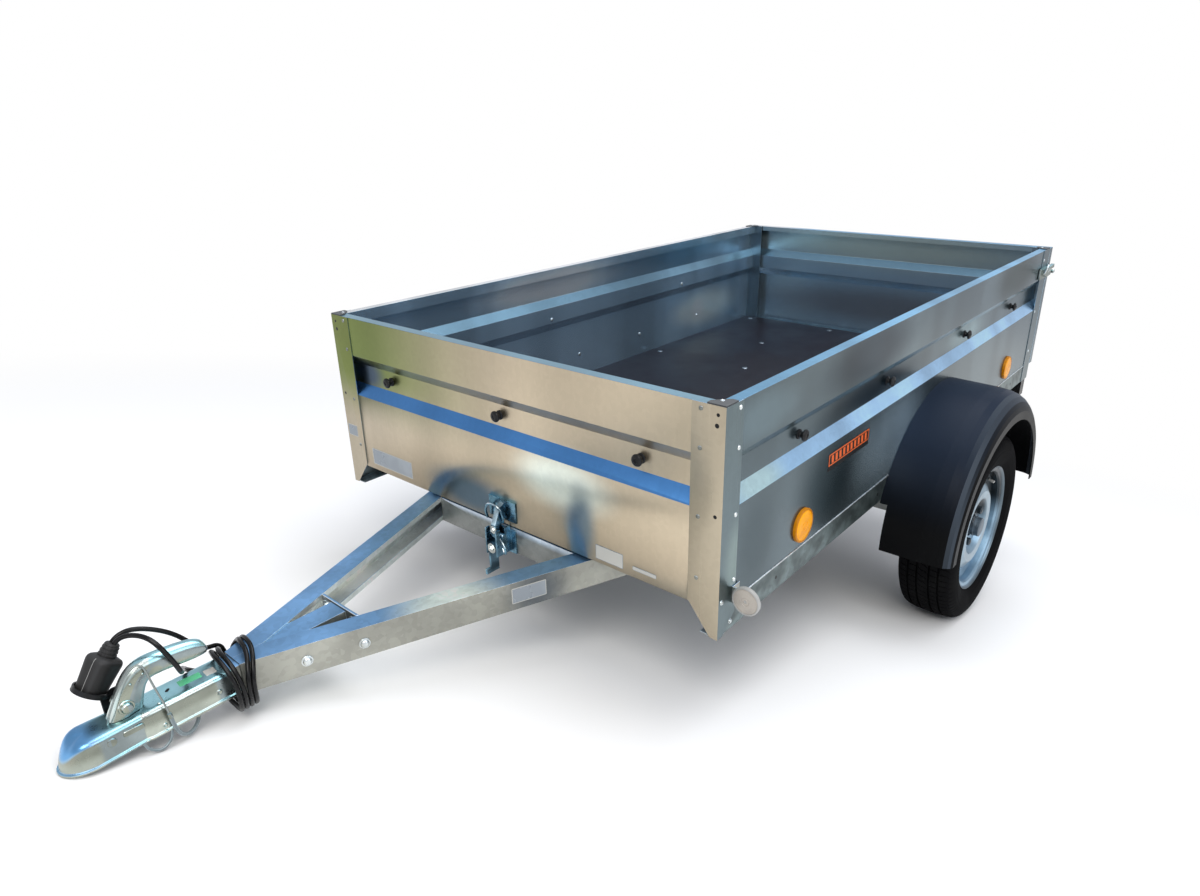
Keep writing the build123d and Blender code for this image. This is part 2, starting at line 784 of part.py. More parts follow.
def plug_holder():
    """A ring round the plug's nose on a bracket from the coupling's side."""
    nose = Vector(*plug_nose)
    back = -Vector(*plug_axis)
    radius = plug_shape[0][0]
    room = rod(nose + back * 15, plug_axis, radius + fit_gap, 30)
    ring = rod(nose + back * 2, plug_axis, radius + 3, 8)
    inner_y = -coupling_half_width - coupling_step - fit_gap
    bracket = box(
        plug_nose[0] - 40, plug_nose[0] - 6, inner_y - 3, inner_y,
        coupling_foot_z + coupling_flange_thickness, plug_nose[2])
    return ring + bracket - room


def lead_gland():
    """A block on the far member's web that takes the lead into the chassis."""
    web_front = -(member_y_at_neck + (neck_x - gland_front_x) * member_slope)
    web_rear = -(member_y_at_neck + (neck_x - gland_rear_x) * member_slope)
    middle_z = tail_route[-1][2]
    return prism_along_z([
        (gland_front_x, web_front), (gland_rear_x, web_rear),
        (gland_rear_x, web_rear - gland_reach), (gland_front_x, web_front - gland_reach),
    ], middle_z - gland_half_height, middle_z + gland_half_height)


# ---- small fittings on the bed ----
knob_drop = 152.0
knob_setbacks = (320.0, 770.0, 1330.0, 1780.0)
knob_z = bed_top_z - knob_drop
knob_front_y = (-bed_width / 3, 0.0, bed_width / 3)
knob_side_x = [bed_front_x - setback for setback in knob_setbacks]
knob_stem_radius = 7.0
knob_head_radius = 13.0
knob_head = 6.0


def rope_knob(base, direction):
    """A mushroom knob standing in the recess of the wall."""
    stem = Plane(origin=base, z_dir=direction) * Pos(0, 0, ridge_depth / 2) \
        * Cylinder(knob_stem_radius, ridge_depth)
    head = Plane(origin=base, z_dir=direction) * Pos(0, 0, ridge_depth) \
        * Cylinder(knob_head_radius, knob_head)
    return stem + head


def rope_knobs():
    knobs = []
    for y in knob_front_y:
        knobs.append(rope_knob((wall_front_x - ridge_depth, y, knob_z), (1, 0, 0)))
    for x in knob_side_x:
        for side in (-1, 1):
            knobs.append(rope_knob(
                (x, side * (wall_y - ridge_depth), knob_z), (0, side, 0)))
    return Compound(knobs)


reflector_radius = 39.0
reflector_depth = 9.0
reflector_drop = 357.0
reflector_z = bed_top_z - reflector_drop
amber_front_back = 325.0
amber_spacing = 1450.0
amber_x = (bed_front_x - amber_front_back, bed_front_x - amber_front_back - amber_spacing)


def amber_reflectors():
    discs = []
    for x in amber_x:
        for side in (-1, 1):
            disc = rod((x, side * (wall_y + reflector_depth / 2), reflector_z),
                       (0, side, 0), reflector_radius, reflector_depth)
            discs.append(disc)
    return Compound(discs)


white_radius = 30.0
white_reach = 34.0
white_y = half_width + white_reach
white_z = 522.0
white_x = bed_front_x - 45
white_depth = 7.0
bracket_thickness = 2.0


def front_reflectors():
    discs = []
    for side in (-1, 1):
        discs.append(rod((white_x + white_depth / 2, side * white_y, white_z),
                         (1, 0, 0), white_radius, white_depth))
    return Compound(discs)


def reflector_brackets():
    left = box(
        white_x - bracket_thickness, white_x, half_width, white_y + 16, white_z - 18, white_z + 18)
    left += box(
        white_x - 26, white_x, half_width, half_width + bracket_thickness,
        white_z - 18, white_z + 18)
    return Compound([left, mirrored(left)])


cap_size = 40.0
cap_thickness = 3.0


def corner_caps():
    caps = []
    for x, along in ((bed_front_x, -1), (bed_back_x, 1)):
        for side in (-1, 1):
            y = side * half_width
            caps.append(prism_along_z([
                (x, y), (x + along * cap_size, y),
                (x + along * cap_size, y - side * 14),
                (x + along * 14, y - side * cap_size),
                (x, y - side * cap_size),
            ], bed_top_z, bed_top_z + cap_thickness))
    return Compound(caps)


# ---- floor bearers and pivot plates ----
bearer_height = 50.0
bearer_width = 40.0
bearer_wall = 2.5
bearer_x = (-210.0, -580.0)
stringer_y = 140.0
stringer_front_gap = 65.0


def bearer_section(middle):
    half = bearer_width / 2
    top = floor_bottom_z
    return ribbon([
        (middle - half - 12, top),
        (middle - half, top),
        (middle - half, top - bearer_height),
        (middle + half, top - bearer_height),
        (middle + half, top),
        (middle + half + 12, top),
    ], bearer_wall)


def cross_bearers():
    end_y = wall_y - rail_width - fit_gap
    return Compound([
        prism_along_y(bearer_section(x), -end_y, end_y) for x in bearer_x])


def floor_stringers():
    rear_x = bearer_x[0] + bearer_width / 2 + 12 + fit_gap
    front_x = bed_front_x - stringer_front_gap
    return Compound([
        prism_along_x(bearer_section(side * stringer_y), rear_x, front_x) for side in (-1, 1)])


def left_pivot_plate():
    y0 = member_kink_y + pivot_side_gap
    rear_x = bearer_x[0] + bearer_width / 2 + 12 + fit_gap
    plate = box(
        rear_x, pivot_x + 30, y0, y0 + pivot_plate_thickness,
        member_mid_z - 25, floor_bottom_z)
    return plate - rod(
        (pivot_x, y0, member_mid_z), (0, 1, 0), pivot_pin_radius + pivot_clearance, 40)


rest_pad_gap = 0.3
rest_pad_setback = 170.0
rest_pad_x = bed_front_x - rest_pad_setback


def rest_pads():
    pads = []
    for side in (-1, 1):
        y = side * (member_kink_y - (rest_pad_x - member_kink_x) * member_slope - 24)
        pads.append(box(
            rest_pad_x - 25, rest_pad_x + 25, y - 15, y + 15,
            member_top_z, floor_bottom_z - rest_pad_gap))
    return Compound(pads)


# ---- tailgate ----
gate_axis_x = bed_rear_x + hinge_axis_inset


def gate_panel():
    depth = gate_thickness
    section = wall_section(gate_bottom_z, depth, depth, gate_edge_lip)
    sheet = prism_along_y(
        [(bed_rear_x + d, z) for d, z in section], -half_width, half_width)
    for side in (-1, 1):
        y1 = side * half_width
        y0 = y1 - side * sheet_thickness
        sheet += box(
            bed_rear_x, bed_rear_x + depth, min(y0, y1), max(y0, y1), gate_bottom_z, bed_top_z)
    return sheet


def hinge_places():
    return (-hinge_side_y, 0.0, hinge_side_y)


def gate_hinges():
    """Two barrels and a leaf on the gate at each hinge, with the pin between them."""
    pieces = []
    step = hinge_barrel_length + hinge_side_gap
    for middle in hinge_places():
        pin = rod((gate_axis_x, middle, hinge_axis_z), (0, 1, 0), hinge_pin_radius, 2 * step + 20)
        piece = pin
        for side in (-1, 1):
            y = middle + side * step
            piece += rod((gate_axis_x, y, hinge_axis_z), (0, 1, 0),
                         hinge_barrel_radius, hinge_barrel_length)
            piece += box(
                bed_rear_x, bed_rear_x + 6, y - hinge_barrel_length / 2,
                y + hinge_barrel_length / 2, hinge_axis_z, gate_bottom_z)
        pieces.append(piece)
    return Compound(pieces)


def hinge_brackets():
    """One barrel on an arm from the rear sill at each hinge."""
    pieces = []
    half = hinge_barrel_length / 2
    for middle in hinge_places():
        barrel = rod(
            (gate_axis_x, middle, hinge_axis_z), (0, 1, 0),
            hinge_barrel_radius, hinge_barrel_length)
        arm = box(
            gate_axis_x, bed_back_x, middle - half, middle + half,
            hinge_axis_z - hinge_barrel_radius, hinge_axis_z - 2)
        leaf = box(
            wall_back_x - 4, wall_back_x, middle - 30, middle + 30,
            rail_bottom_z + 4, rail_top_z - 6)
        piece = barrel + arm + leaf
        piece -= rod(
            (gate_axis_x, middle, hinge_axis_z), (0, 1, 0),
            hinge_pin_radius + hinge_clearance, 80)
        pieces.append(piece)
    return Compound(pieces)


catch_z = 832.0
catch_pin_radius = 6.0
catch_pin_length = 18.0


def gate_strikers():
    pins = []
    for side in (-1, 1):
        y = side * (half_width + catch_pin_length / 2)
        pins.append(rod(
            (bed_rear_x + gate_thickness / 2, y, catch_z), (0, 1, 0),
            catch_pin_radius, catch_pin_length))
    return Compound(pins)


def gate_latches():
    left = box(bed_back_x + 4, bed_back_x + 96, half_width, half_width + 5, catch_z - 16, catch_z + 22)
    pin_x = bed_rear_x + gate_thickness / 2
    hook = prism_along_y([
        (bed_back_x + 80, catch_z + 18), (pin_x - 16, catch_z + 24), (pin_x - 18, catch_z + 12),
        (pin_x + 14, catch_z + 11.5), (pin_x + 18, catch_z - 8), (bed_back_x + 50, catch_z - 10),
        (bed_back_x + 84, catch_z + 2),
    ], half_width + 5, half_width + 15)
    left += hook
    return Compound([left, mirrored(left)])


# ---- lamps and plate under the rear ----
lamp_size = (42.0, 170.0, 62.0)


def tail_lamps():
    lamps = []
    for side in (-1, 1):
        y1 = side * (half_width - 4)
        y0 = y1 - side * lamp_size[1]
        lamps.append(box(
            bed_back_x, bed_back_x + lamp_size[0], min(y0, y1), max(y0, y1),
            rail_bottom_z - lamp_size[2], rail_bottom_z))
    return Compound(lamps)


def number_plate():
    return box(bed_back_x, bed_back_x + 3, -60, 60, rail_bottom_z - 60, rail_bottom_z)


# ---- assembly ----
parts["wall_front"] = front_wall()
parts["wall_left"] = left_wall()
parts["wall_right"] = mirrored(parts["wall_left"])
parts["floor_panel"] = floor_panel()
side_rail = left_side_rail()
parts["side_rails"] = Compound([side_rail, mirrored(side_rail)])
parts["rear_sill"] = rear_sill()
parts["post_front_left"] = left_front_post()
parts["post_front_right"] = mirrored(parts["post_front_left"])
parts["post_rear_left"] = left_rear_post()
parts["post_rear_right"] = mirrored(parts["post_rear_left"])
parts["corner_caps"] = corner_caps()
parts["rope_knobs"] = rope_knobs()
parts["amber_reflectors"] = amber_reflectors()
parts["front_reflectors"] = front_reflectors()
parts["reflector_brackets"] = reflector_brackets()
parts["fender_left"] = left_fender()
parts["fender_right"] = mirrored(parts["fender_left"])
parts["cross_bearers"] = cross_bearers()
parts["floor_stringers"] = floor_stringers()
plate = left_pivot_plate()
parts["pivot_plates"] = Compound([plate, mirrored(plate)])
parts["tilt_latch_upper"] = tilt_latch_upper()
parts["gate_latches"] = gate_latches()
parts["hinge_brackets"] = hinge_brackets()
parts["tail_lamps"] = tail_lamps()
parts["number_plate"] = number_plate()
parts["gate_panel"] = gate_panel()
parts["gate_hinges"] = gate_hinges()
parts["gate_strikers"] = gate_strikers()
parts["drawbar_left"] = left_member()
parts["drawbar_right"] = mirrored(parts["drawbar_left"])
parts["front_crossbeam"] = front_crossbeam()
parts["neck_tube"] = neck_tube()
parts["neck_brace"] = neck_brace()
parts["rest_pads"] = rest_pads()
parts["axle_beam"] = axle_beam()
bracket = left_axle_bracket()
parts["axle_brackets"] = Compound([bracket, mirrored(bracket)])
arm = left_arm()
parts["swing_arms"] = Compound([arm, mirrored(arm)])
stub = left_stub()
parts["stub_axles"] = Compound([stub, mirrored(stub)])
pin = left_pivot_pin()
parts["pivot_pins"] = Compound([pin, mirrored(pin)])
parts["coupling_body"] = coupling_body()
parts["coupling_handle"] = coupling_handle()
parts["tilt_latch_lower"] = tilt_latch_lower()
parts["lead_upper"] = cord("lead_upper", upper_route, lead_diameter)
parts["lead_lower"] = cord("lead_lower", lower_route, lead_diameter)
parts["lead_tail"] = cord("lead_tail", tail_route, lead_diameter)
parts["lead_coil"] = (
    lead_coil() - parts["lead_upper"] - parts["lead_lower"] - parts["lead_tail"])
parts["lead_gland"] = lead_gland() - parts["lead_tail"]
parts["trailer_plug"] = trailer_plug()
parts["plug_holder"] = plug_holder()
parts["breakaway_wire"] = cord("breakaway_wire", wire_route, wire_diameter)
parts["tyre_left"] = left_tyre()
parts["tyre_right"] = mirrored(parts["tyre_left"])
parts["rim_left"] = left_rim()
parts["rim_right"] = mirrored(parts["rim_left"])
parts["hub_left"] = left_hub()
parts["hub_right"] = mirrored(parts["hub_left"])

# ---- parked: nose down on the coupling ----
nose_reach = coupling_nose_x
nose_rise = coupling_foot_z - axle_z
nose_distance = hypot(nose_reach, nose_rise)
park_pitch = degrees(asin(tyre_radius / nose_distance) + atan2(nose_rise, nose_reach))
park = Pos(0, 0, axle_z) * Rot(0, park_pitch, 0) * Pos(0, 0, -axle_z)
parked = {name: park * shape for name, shape in parts.items()}
boxes = [shape.bounding_box() for shape in parked.values()]
centre_shift = -(min(b.min.X for b in boxes) + max(b.max.X for b in boxes)) / 2
print("park_pitch", park_pitch, "centre_shift", centre_shift)

os.makedirs("parts", exist_ok=True)
for name, shape in parked.items():
    export_step(Pos(centre_shift, 0, 0) * shape, f"parts/{name}.step")
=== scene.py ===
import math
import bpy
import bmesh
from mathutils import Matrix, Vector


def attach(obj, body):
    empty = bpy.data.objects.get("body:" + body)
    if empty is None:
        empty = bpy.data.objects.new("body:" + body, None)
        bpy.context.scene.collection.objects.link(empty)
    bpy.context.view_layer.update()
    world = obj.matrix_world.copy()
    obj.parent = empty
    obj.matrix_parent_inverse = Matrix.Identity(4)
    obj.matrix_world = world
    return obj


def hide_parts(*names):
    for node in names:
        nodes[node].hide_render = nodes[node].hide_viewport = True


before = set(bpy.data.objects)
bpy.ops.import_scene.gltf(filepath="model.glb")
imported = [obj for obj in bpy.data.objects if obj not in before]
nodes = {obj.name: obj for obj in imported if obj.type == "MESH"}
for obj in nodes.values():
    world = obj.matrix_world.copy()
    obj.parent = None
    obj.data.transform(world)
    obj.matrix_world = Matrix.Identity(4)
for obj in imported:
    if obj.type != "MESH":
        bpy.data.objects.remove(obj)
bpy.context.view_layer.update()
print("frame loaded:", len(nodes), "nodes")

# Sizes in this file are millimetres on the level trailer: x from the wheel axis towards
# the coupling, y to the trailer's left, z up from the ground. The parked trailer leans
# nose down about its wheel axis. Positions inside materials are metres on the level trailer.
parking = {"pitchDegrees": 12.3731042, "shift": -0.55568885, "axleHeight": 0.272}
levelToParked = (
    Matrix.Translation((parking["shift"], 0, parking["axleHeight"]))
    @ Matrix.Rotation(math.radians(parking["pitchDegrees"]), 4, "Y")
    @ Matrix.Translation((0, 0, -parking["axleHeight"]))
)


def place(x, y, z):
    return levelToParked @ Vector((x / 1000, y / 1000, z / 1000))


# camera beside the level trailer, its angles in radians; it leans with the parked trailer
viewpoint = {
    "x": 2233.17, "y": 1283.75, "z": 1375.74,
    "azimuth": 3.858231, "elevation": -0.3906716, "roll": -0.022148,
    "lens": 24.2696, "sensor": 36,
}


def makeCamera():
    azimuth, elevation, roll = (viewpoint[k] for k in ("azimuth", "elevation", "roll"))
    ahead = Vector((
        math.cos(elevation) * math.cos(azimuth),
        math.cos(elevation) * math.sin(azimuth),
        math.sin(elevation)))
    right = ahead.cross(Vector((0, 0, 1))).normalized()
    up = right.cross(ahead)
    rightRolled = math.cos(roll) * right + math.sin(roll) * up
    upRolled = math.cos(roll) * up - math.sin(roll) * right
    turn = Matrix((rightRolled, upRolled, -ahead)).transposed().to_4x4()
    turn = levelToParked.to_3x3().to_4x4() @ turn
    data = bpy.data.cameras.new("viewCamera")
    data.lens = viewpoint["lens"]
    data.sensor_width = viewpoint["sensor"]
    data.sensor_fit = "HORIZONTAL"
    data.clip_start = 0.05
    data.clip_end = 200
    camera = bpy.data.objects.new("viewCamera", data)
    bpy.context.collection.objects.link(camera)
    camera.matrix_world = (
        Matrix.Translation(place(viewpoint["x"], viewpoint["y"], viewpoint["z"])) @ turn)
    bpy.context.scene.camera = camera


makeCamera()
print("camera placed")


def makeGroup(name, inputs, outputs):
    group = bpy.data.node_groups.new(name, "ShaderNodeTree")
    for label, kind, default in inputs:
        socket = group.interface.new_socket(name=label, in_out="INPUT", socket_type=kind)
        socket.default_value = default
    for label, kind in outputs:
        group.interface.new_socket(name=label, in_out="OUTPUT", socket_type=kind)
    start = group.nodes.new("NodeGroupInput")
    end = group.nodes.new("NodeGroupOutput")
    return group, start.outputs, end.inputs


def setInputs(tree, node, values):
    # a socket is linked, a plain value is set
    for key, value in values.items():
        if isinstance(value, bpy.types.NodeSocket):
            tree.links.new(value, node.inputs[key])
        else:
            node.inputs[key].default_value = value


def addNode(tree, kind, values=None, **settings):
    node = tree.nodes.new(kind)
    for key, value in settings.items():
        setattr(node, key, value)
    setInputs(tree, node, values or {})
    return node


def calc(tree, operation, *terms):
    return addNode(tree, "ShaderNodeMath", dict(enumerate(terms)), operation=operation).outputs["Value"]


def between(tree, value, low, high, toLow=0.0, toHigh=1.0):
    # soft step of a value from toLow to toHigh
    return addNode(tree, "ShaderNodeMapRange", {
        "Value": value, "From Min": low, "From Max": high, "To Min": toLow, "To Max": toHigh,
    }, interpolation_type="SMOOTHSTEP").outputs["Result"]


def blend(tree, factor, first, second):
    return addNode(tree, "ShaderNodeMix", {
        "Factor": factor, "A": first, "B": second}, data_type="RGBA").outputs["Result"]


def vectorCalc(tree, operation, *terms, give="Vector"):
    return addNode(
        tree, "ShaderNodeVectorMath", dict(enumerate(terms)), operation=operation).outputs[give]


def scaled(tree, color, factor):
    return addNode(tree, "ShaderNodeVectorMath", {
        0: color, "Scale": factor}, operation="SCALE").outputs["Vector"]


def noise(tree, position, scale, detail, roughness=0.5):
    return addNode(tree, "ShaderNodeTexNoise", {
        "Vector": position, "Scale": scale, "Detail": detail, "Roughness": roughness}).outputs["Fac"]


def splitVector(tree, vector):
    return addNode(tree, "ShaderNodeSeparateXYZ", {"Vector": vector}).outputs


def relief(tree, height, strength, distance):
    return addNode(tree, "ShaderNodeBump", {
        "Height": height, "Strength": strength, "Distance": distance}).outputs["Normal"]


def giveOut(group, result, sockets):
    for label, socket in sockets.items():
        group.links.new(socket, result[label])


def useGroup(tree, group, values=None):
    return addNode(tree, "ShaderNodeGroup", values, node_tree=group)


def makeLevelSpace():
    # position and normal as on the level trailer, in metres
    group, _, result = makeGroup(
        "levelSpace", [], [("Position", "NodeSocketVector"), ("Normal", "NodeSocketVector")])
    coords = addNode(group, "ShaderNodeTexCoord")
    lean = -math.radians(parking["pitchDegrees"])
    drop = levelToParked.inverted().to_translation()
    spot = addNode(group, "ShaderNodeMapping", {
        "Vector": coords.outputs["Object"], "Rotation": (0, lean, 0), "Location": drop})
    facing = addNode(group, "ShaderNodeMapping", {
        "Vector": coords.outputs["Normal"], "Rotation": (0, lean, 0)})
    giveOut(group, result, {"Position": spot.outputs["Vector"], "Normal": facing.outputs["Vector"]})
    return group


sheetGrain = {"flowers": 95.0, "specks": 420.0}


def makeRolledGrain():
    # faint rolling lines, soft clouds, zinc flowers and fine specks of galvanised sheet
    group, given, result = makeGroup(
        "rolledGrain",
        [("Position", "NodeSocketVector", (0, 0, 0)), ("Line Scale", "NodeSocketVector", (3, 3, 300)),
         ("Cloud Scale", "NodeSocketVector", (3, 3, 3))],
        [("Lines", "NodeSocketFloat"), ("Clouds", "NodeSocketFloat"), ("Flowers", "NodeSocketFloat"),
         ("Specks", "NodeSocketFloat")])
    lines = noise(group, vectorCalc(
        group, "MULTIPLY", given["Position"], given["Line Scale"]), 1.0, 4.0, 0.6)
    clouds = noise(group, vectorCalc(
        group, "MULTIPLY", given["Position"], given["Cloud Scale"]), 1.0, 1.0, 0.4)
    flowers = addNode(group, "ShaderNodeTexVoronoi", {
        "Vector": given["Position"], "Scale": sheetGrain["flowers"]})
    tone = addNode(group, "ShaderNodeSeparateColor", {"Color": flowers.outputs["Color"]})
    giveOut(group, result, {
        "Lines": lines, "Clouds": clouds, "Flowers": tone.outputs["Red"],
        "Specks": noise(group, given["Position"], sheetGrain["specks"], 2.0)})
    return group


# where the sheet's painted reflections and shade change, in metres on the level trailer
shadePlaces = {
    "bedMiddle": 0.06, "farSide": (-0.5, 0.05), "farHeight": (0.62, 0.78), "farLip": (-0.5, -0.3),
    "lipHeight": (0.900, 0.908),
}
# how far a face has turned up, ahead or outwards, as a part of its normal
facingSteps = {
    "up": (0.3, 0.5), "level": (0.82, 0.97), "ahead": (0.45, 0.8), "outward": (-0.03, 0.03),
}
# a painted light tint and the entries of a look that can fill it, the first one found
sheetTints = {
    "Ahead": ("ahead",), "Ahead Far": ("aheadFar", "ahead"), "Side": ("side",), "Up": ("up",),
    "Up Inside": ("upInside", "up"), "Lip": ("lip", "up"), "Lip Far": ("lipFar", "lip", "up"),
    "Edge": ("edge", "up"), "Inside": ("inside", "side"),
}
# moulded tints: the top one is partly dust, partly a painted sheen; the shoulder one a painted highlight
skinTints = {
    "Base": ("color",), "Worn": ("worn", "color"), "Top": ("top", "color"),
    "Shoulder Highlight": ("shoulderHighlight", "top", "color"),
}
rimTints = {"Ridge": ("ridge",), "High": ("high",), "Low": ("low",), "Flange": ("flange",)}


def colorSockets(tints):
    return [(label, "NodeSocketColor", (0.3, 0.3, 0.3, 1)) for label in tints]


def makePaintedFacingLight():
    # painted light on the zinc: tints for faces that look ahead, sideways, up and into the bed, each a
    # painted reflection or shade, a painted sky reflection for the rolled top lip, and a painted highlight
    # where an edge turns over
    group, given, result = makeGroup(
        "paintedFacingLight",
        [("Position", "NodeSocketVector", (0, 0, 0)), ("Normal", "NodeSocketVector", (0, 0, 1))]
        + colorSockets(sheetTints),
        [("Color", "NodeSocketColor"), ("Upward", "NodeSocketFloat"), ("Outward", "NodeSocketFloat")])
    spot = splitVector(group, given["Position"])
    facing = splitVector(group, given["Normal"])
    upward = between(group, facing["Z"], *facingSteps["up"])
    # mask of the turned-over edges, where the painted highlight goes
    edge = calc(
        group, "MULTIPLY", upward, between(group, facing["Z"], *facingSteps["level"], 1.0, 0.0))
    ahead = between(group, facing["X"], *facingSteps["ahead"])
    # the far side's upper front faces take aheadFar, a painted green reflection
    far = calc(
        group, "MULTIPLY", between(group, spot["Y"], *shadePlaces["farSide"], 1.0, 0.0),
        between(group, spot["Z"], *shadePlaces["farHeight"]))
    fromMiddle = calc(group, "SUBTRACT", spot["X"], shadePlaces["bedMiddle"])
    outward = calc(
        group, "MULTIPLY_ADD", fromMiddle, facing["X"],
        calc(group, "MULTIPLY", spot["Y"], facing["Y"]))
    outward = between(group, outward, *facingSteps["outward"])
    front = blend(group, far, given["Ahead"], given["Ahead Far"])
    color = blend(group, ahead, given["Side"], front)
    color = blend(group, outward, given["Inside"], color)
    # painted sky reflection on faces that look up, with its own tint inside the bed
    above = blend(group, outward, given["Up Inside"], given["Up"])
    farLip = between(group, spot["Y"], *shadePlaces["farLip"], 1.0, 0.0)
    lip = blend(group, farLip, given["Lip"], given["Lip Far"])
    above = blend(group, between(group, spot["Z"], *shadePlaces["lipHeight"]), above, lip)
    color = blend(group, upward, color, above)
    # painted highlight on outward turned-over edges; inside the bed they take the up-inside tint
    rolled = blend(group, outward, given["Up Inside"], given["Edge"])
    color = blend(group, edge, color, rolled)
    giveOut(group, result, {"Color": color, "Upward": upward, "Outward": outward})
    return group


def makePaintedLightPatch():
    # a soft-edged oval mask, where a painted reflection, highlight or shadow goes
    group, given, result = makeGroup(
        "paintedLightPatch",
        [("Position", "NodeSocketVector", (0, 0, 0)), ("Centre", "NodeSocketVector", (0, 0, 0)),
         ("Reach", "NodeSocketVector", (1, 1, 1))],
        [("Mask", "NodeSocketFloat")])
    offset = vectorCalc(group, "SUBTRACT", given["Position"], given["Centre"])
    share = vectorCalc(group, "DIVIDE", offset, given["Reach"])
    distance = vectorCalc(group, "LENGTH", share, give="Value")
    giveOut(group, result, {"Mask": between(group, distance, 0.25, 1.0, 1.0, 0.0)})
    return group


# steps of the patches' noise, of an upward normal and of a sideways one
skinSteps = {
    "worn": (0.45, 0.75), "up": (0.2, 1.0), "shoulderIn": (0.35, 0.62), "shoulderOut": (0.66, 0.90),
}


def makeMouldedSkin():
    # moulding grain with broad uneven patches; faces that look up take a top colour, partly dust and partly
    # a painted sheen, and faces turned part way sideways a painted highlight along the shoulder
    group, given, result = makeGroup(
        "mouldedSkin",
        [("Position", "NodeSocketVector", (0, 0, 0)), ("Normal", "NodeSocketVector", (0, 0, 1)),
         ("Grain Scale", "NodeSocketFloat", 900.0), ("Patch Scale", "NodeSocketFloat", 12.0)]
        + colorSockets(skinTints),
        [("Color", "NodeSocketColor"), ("Patches", "NodeSocketFloat"), ("Grain", "NodeSocketFloat")])
    patches = noise(group, given["Position"], given["Patch Scale"], 4.0)
    facing = splitVector(group, given["Normal"])
    worn = between(group, patches, *skinSteps["worn"])
    color = blend(group, worn, given["Base"], given["Worn"])
    # faces that look up: dust and a painted sheen
    color = blend(group, between(group, facing["Z"], *skinSteps["up"]), color, given["Top"])
    # painted highlight along the rounded shoulder
    sideways = calc(group, "ABSOLUTE", facing["Y"])
    shoulderHighlight = calc(group, "MULTIPLY", between(group, sideways, *skinSteps["shoulderIn"]),
                    between(group, sideways, *skinSteps["shoulderOut"], 1.0, 0.0))
    color = blend(group, shoulderHighlight, color, given["Shoulder Highlight"])
    giveOut(group, result, {
        "Color": color, "Patches": patches,
        "Grain": noise(group, given["Position"], given["Grain Scale"], 3.0)})
    return group


# where the wheel's painted light and shade change: height above the axle, then distances from it, in metres
rimPlaces = {
    "rise": (-0.05, 0.045), "ridgeIn": (0.074, 0.088), "ridgeOut": (0.118, 0.130),
    "flange": (0.171, 0.179),
}


def makeRimShade():
    # wheel colour by distance from the axle: painted highlight on the pressed ridge, painted shade above
    # the axle, painted sky reflection below it, and its own tint on the flange
    group, given, result = makeGroup(
        "rimShade", [("Position", "NodeSocketVector", (0, 0, 0))] + colorSockets(rimTints),
        [("Color", "NodeSocketColor")])
    offset = vectorCalc(group, "SUBTRACT", given["Position"], (0, 0, parking["axleHeight"]))
    flat = vectorCalc(group, "MULTIPLY", offset, (1, 0, 1))
    radius = vectorCalc(group, "LENGTH", flat, give="Value")
    rise = splitVector(group, offset)["Z"]
    # painted shade above the axle, painted sky reflection below it
    color = blend(group, between(group, rise, *rimPlaces["rise"]), given["Low"], given["High"])
    # painted highlight on the pressed ridge
    ridge = calc(group, "MULTIPLY", between(group, radius, *rimPlaces["ridgeIn"]),
                 between(group, radius, *rimPlaces["ridgeOut"], 1.0, 0.0))
    color = blend(group, ridge, color, given["Ridge"])
    color = blend(group, between(group, radius, *rimPlaces["flange"]), color, given["Flange"])
    giveOut(group, result, {"Color": color})
    return group


levelSpace = makeLevelSpace()
rolledGrain = makeRolledGrain()
paintedFacingLight = makePaintedFacingLight()
paintedLightPatch = makePaintedLightPatch()
mouldedSkin = makeMouldedSkin()
rimShade = makeRimShade()
print("shader groups made")


# depths of the bumps in metres; the lens's prisms and gloss; the dust on the rims
finishForm = {
    "sheetDepth": 0.0005, "skinDepth": 0.0004, "prismDepth": 0.0008, "prismBump": 0.35,
    "prismTone": (1.15, 0.75), "gloss": 0.08, "rimBump": 0.05, "rimDust": (0.84, 1.12),
}


def newMaterial(name):
    material = bpy.data.materials.new(name)
    material.use_nodes = True
    shader = material.node_tree.nodes["Principled BSDF"]
    return material, material.node_tree, shader


def opaque(color):
    return (*color, 1)


def tintValues(look, tints):
    return {
        label: opaque(next(look[key] for key in keys if key in look)) for label, keys in tints.items()}


def unevenRough(tree, patches, rough):
    return between(tree, patches, 0.3, 0.7, rough - 0.05, rough + 0.07)


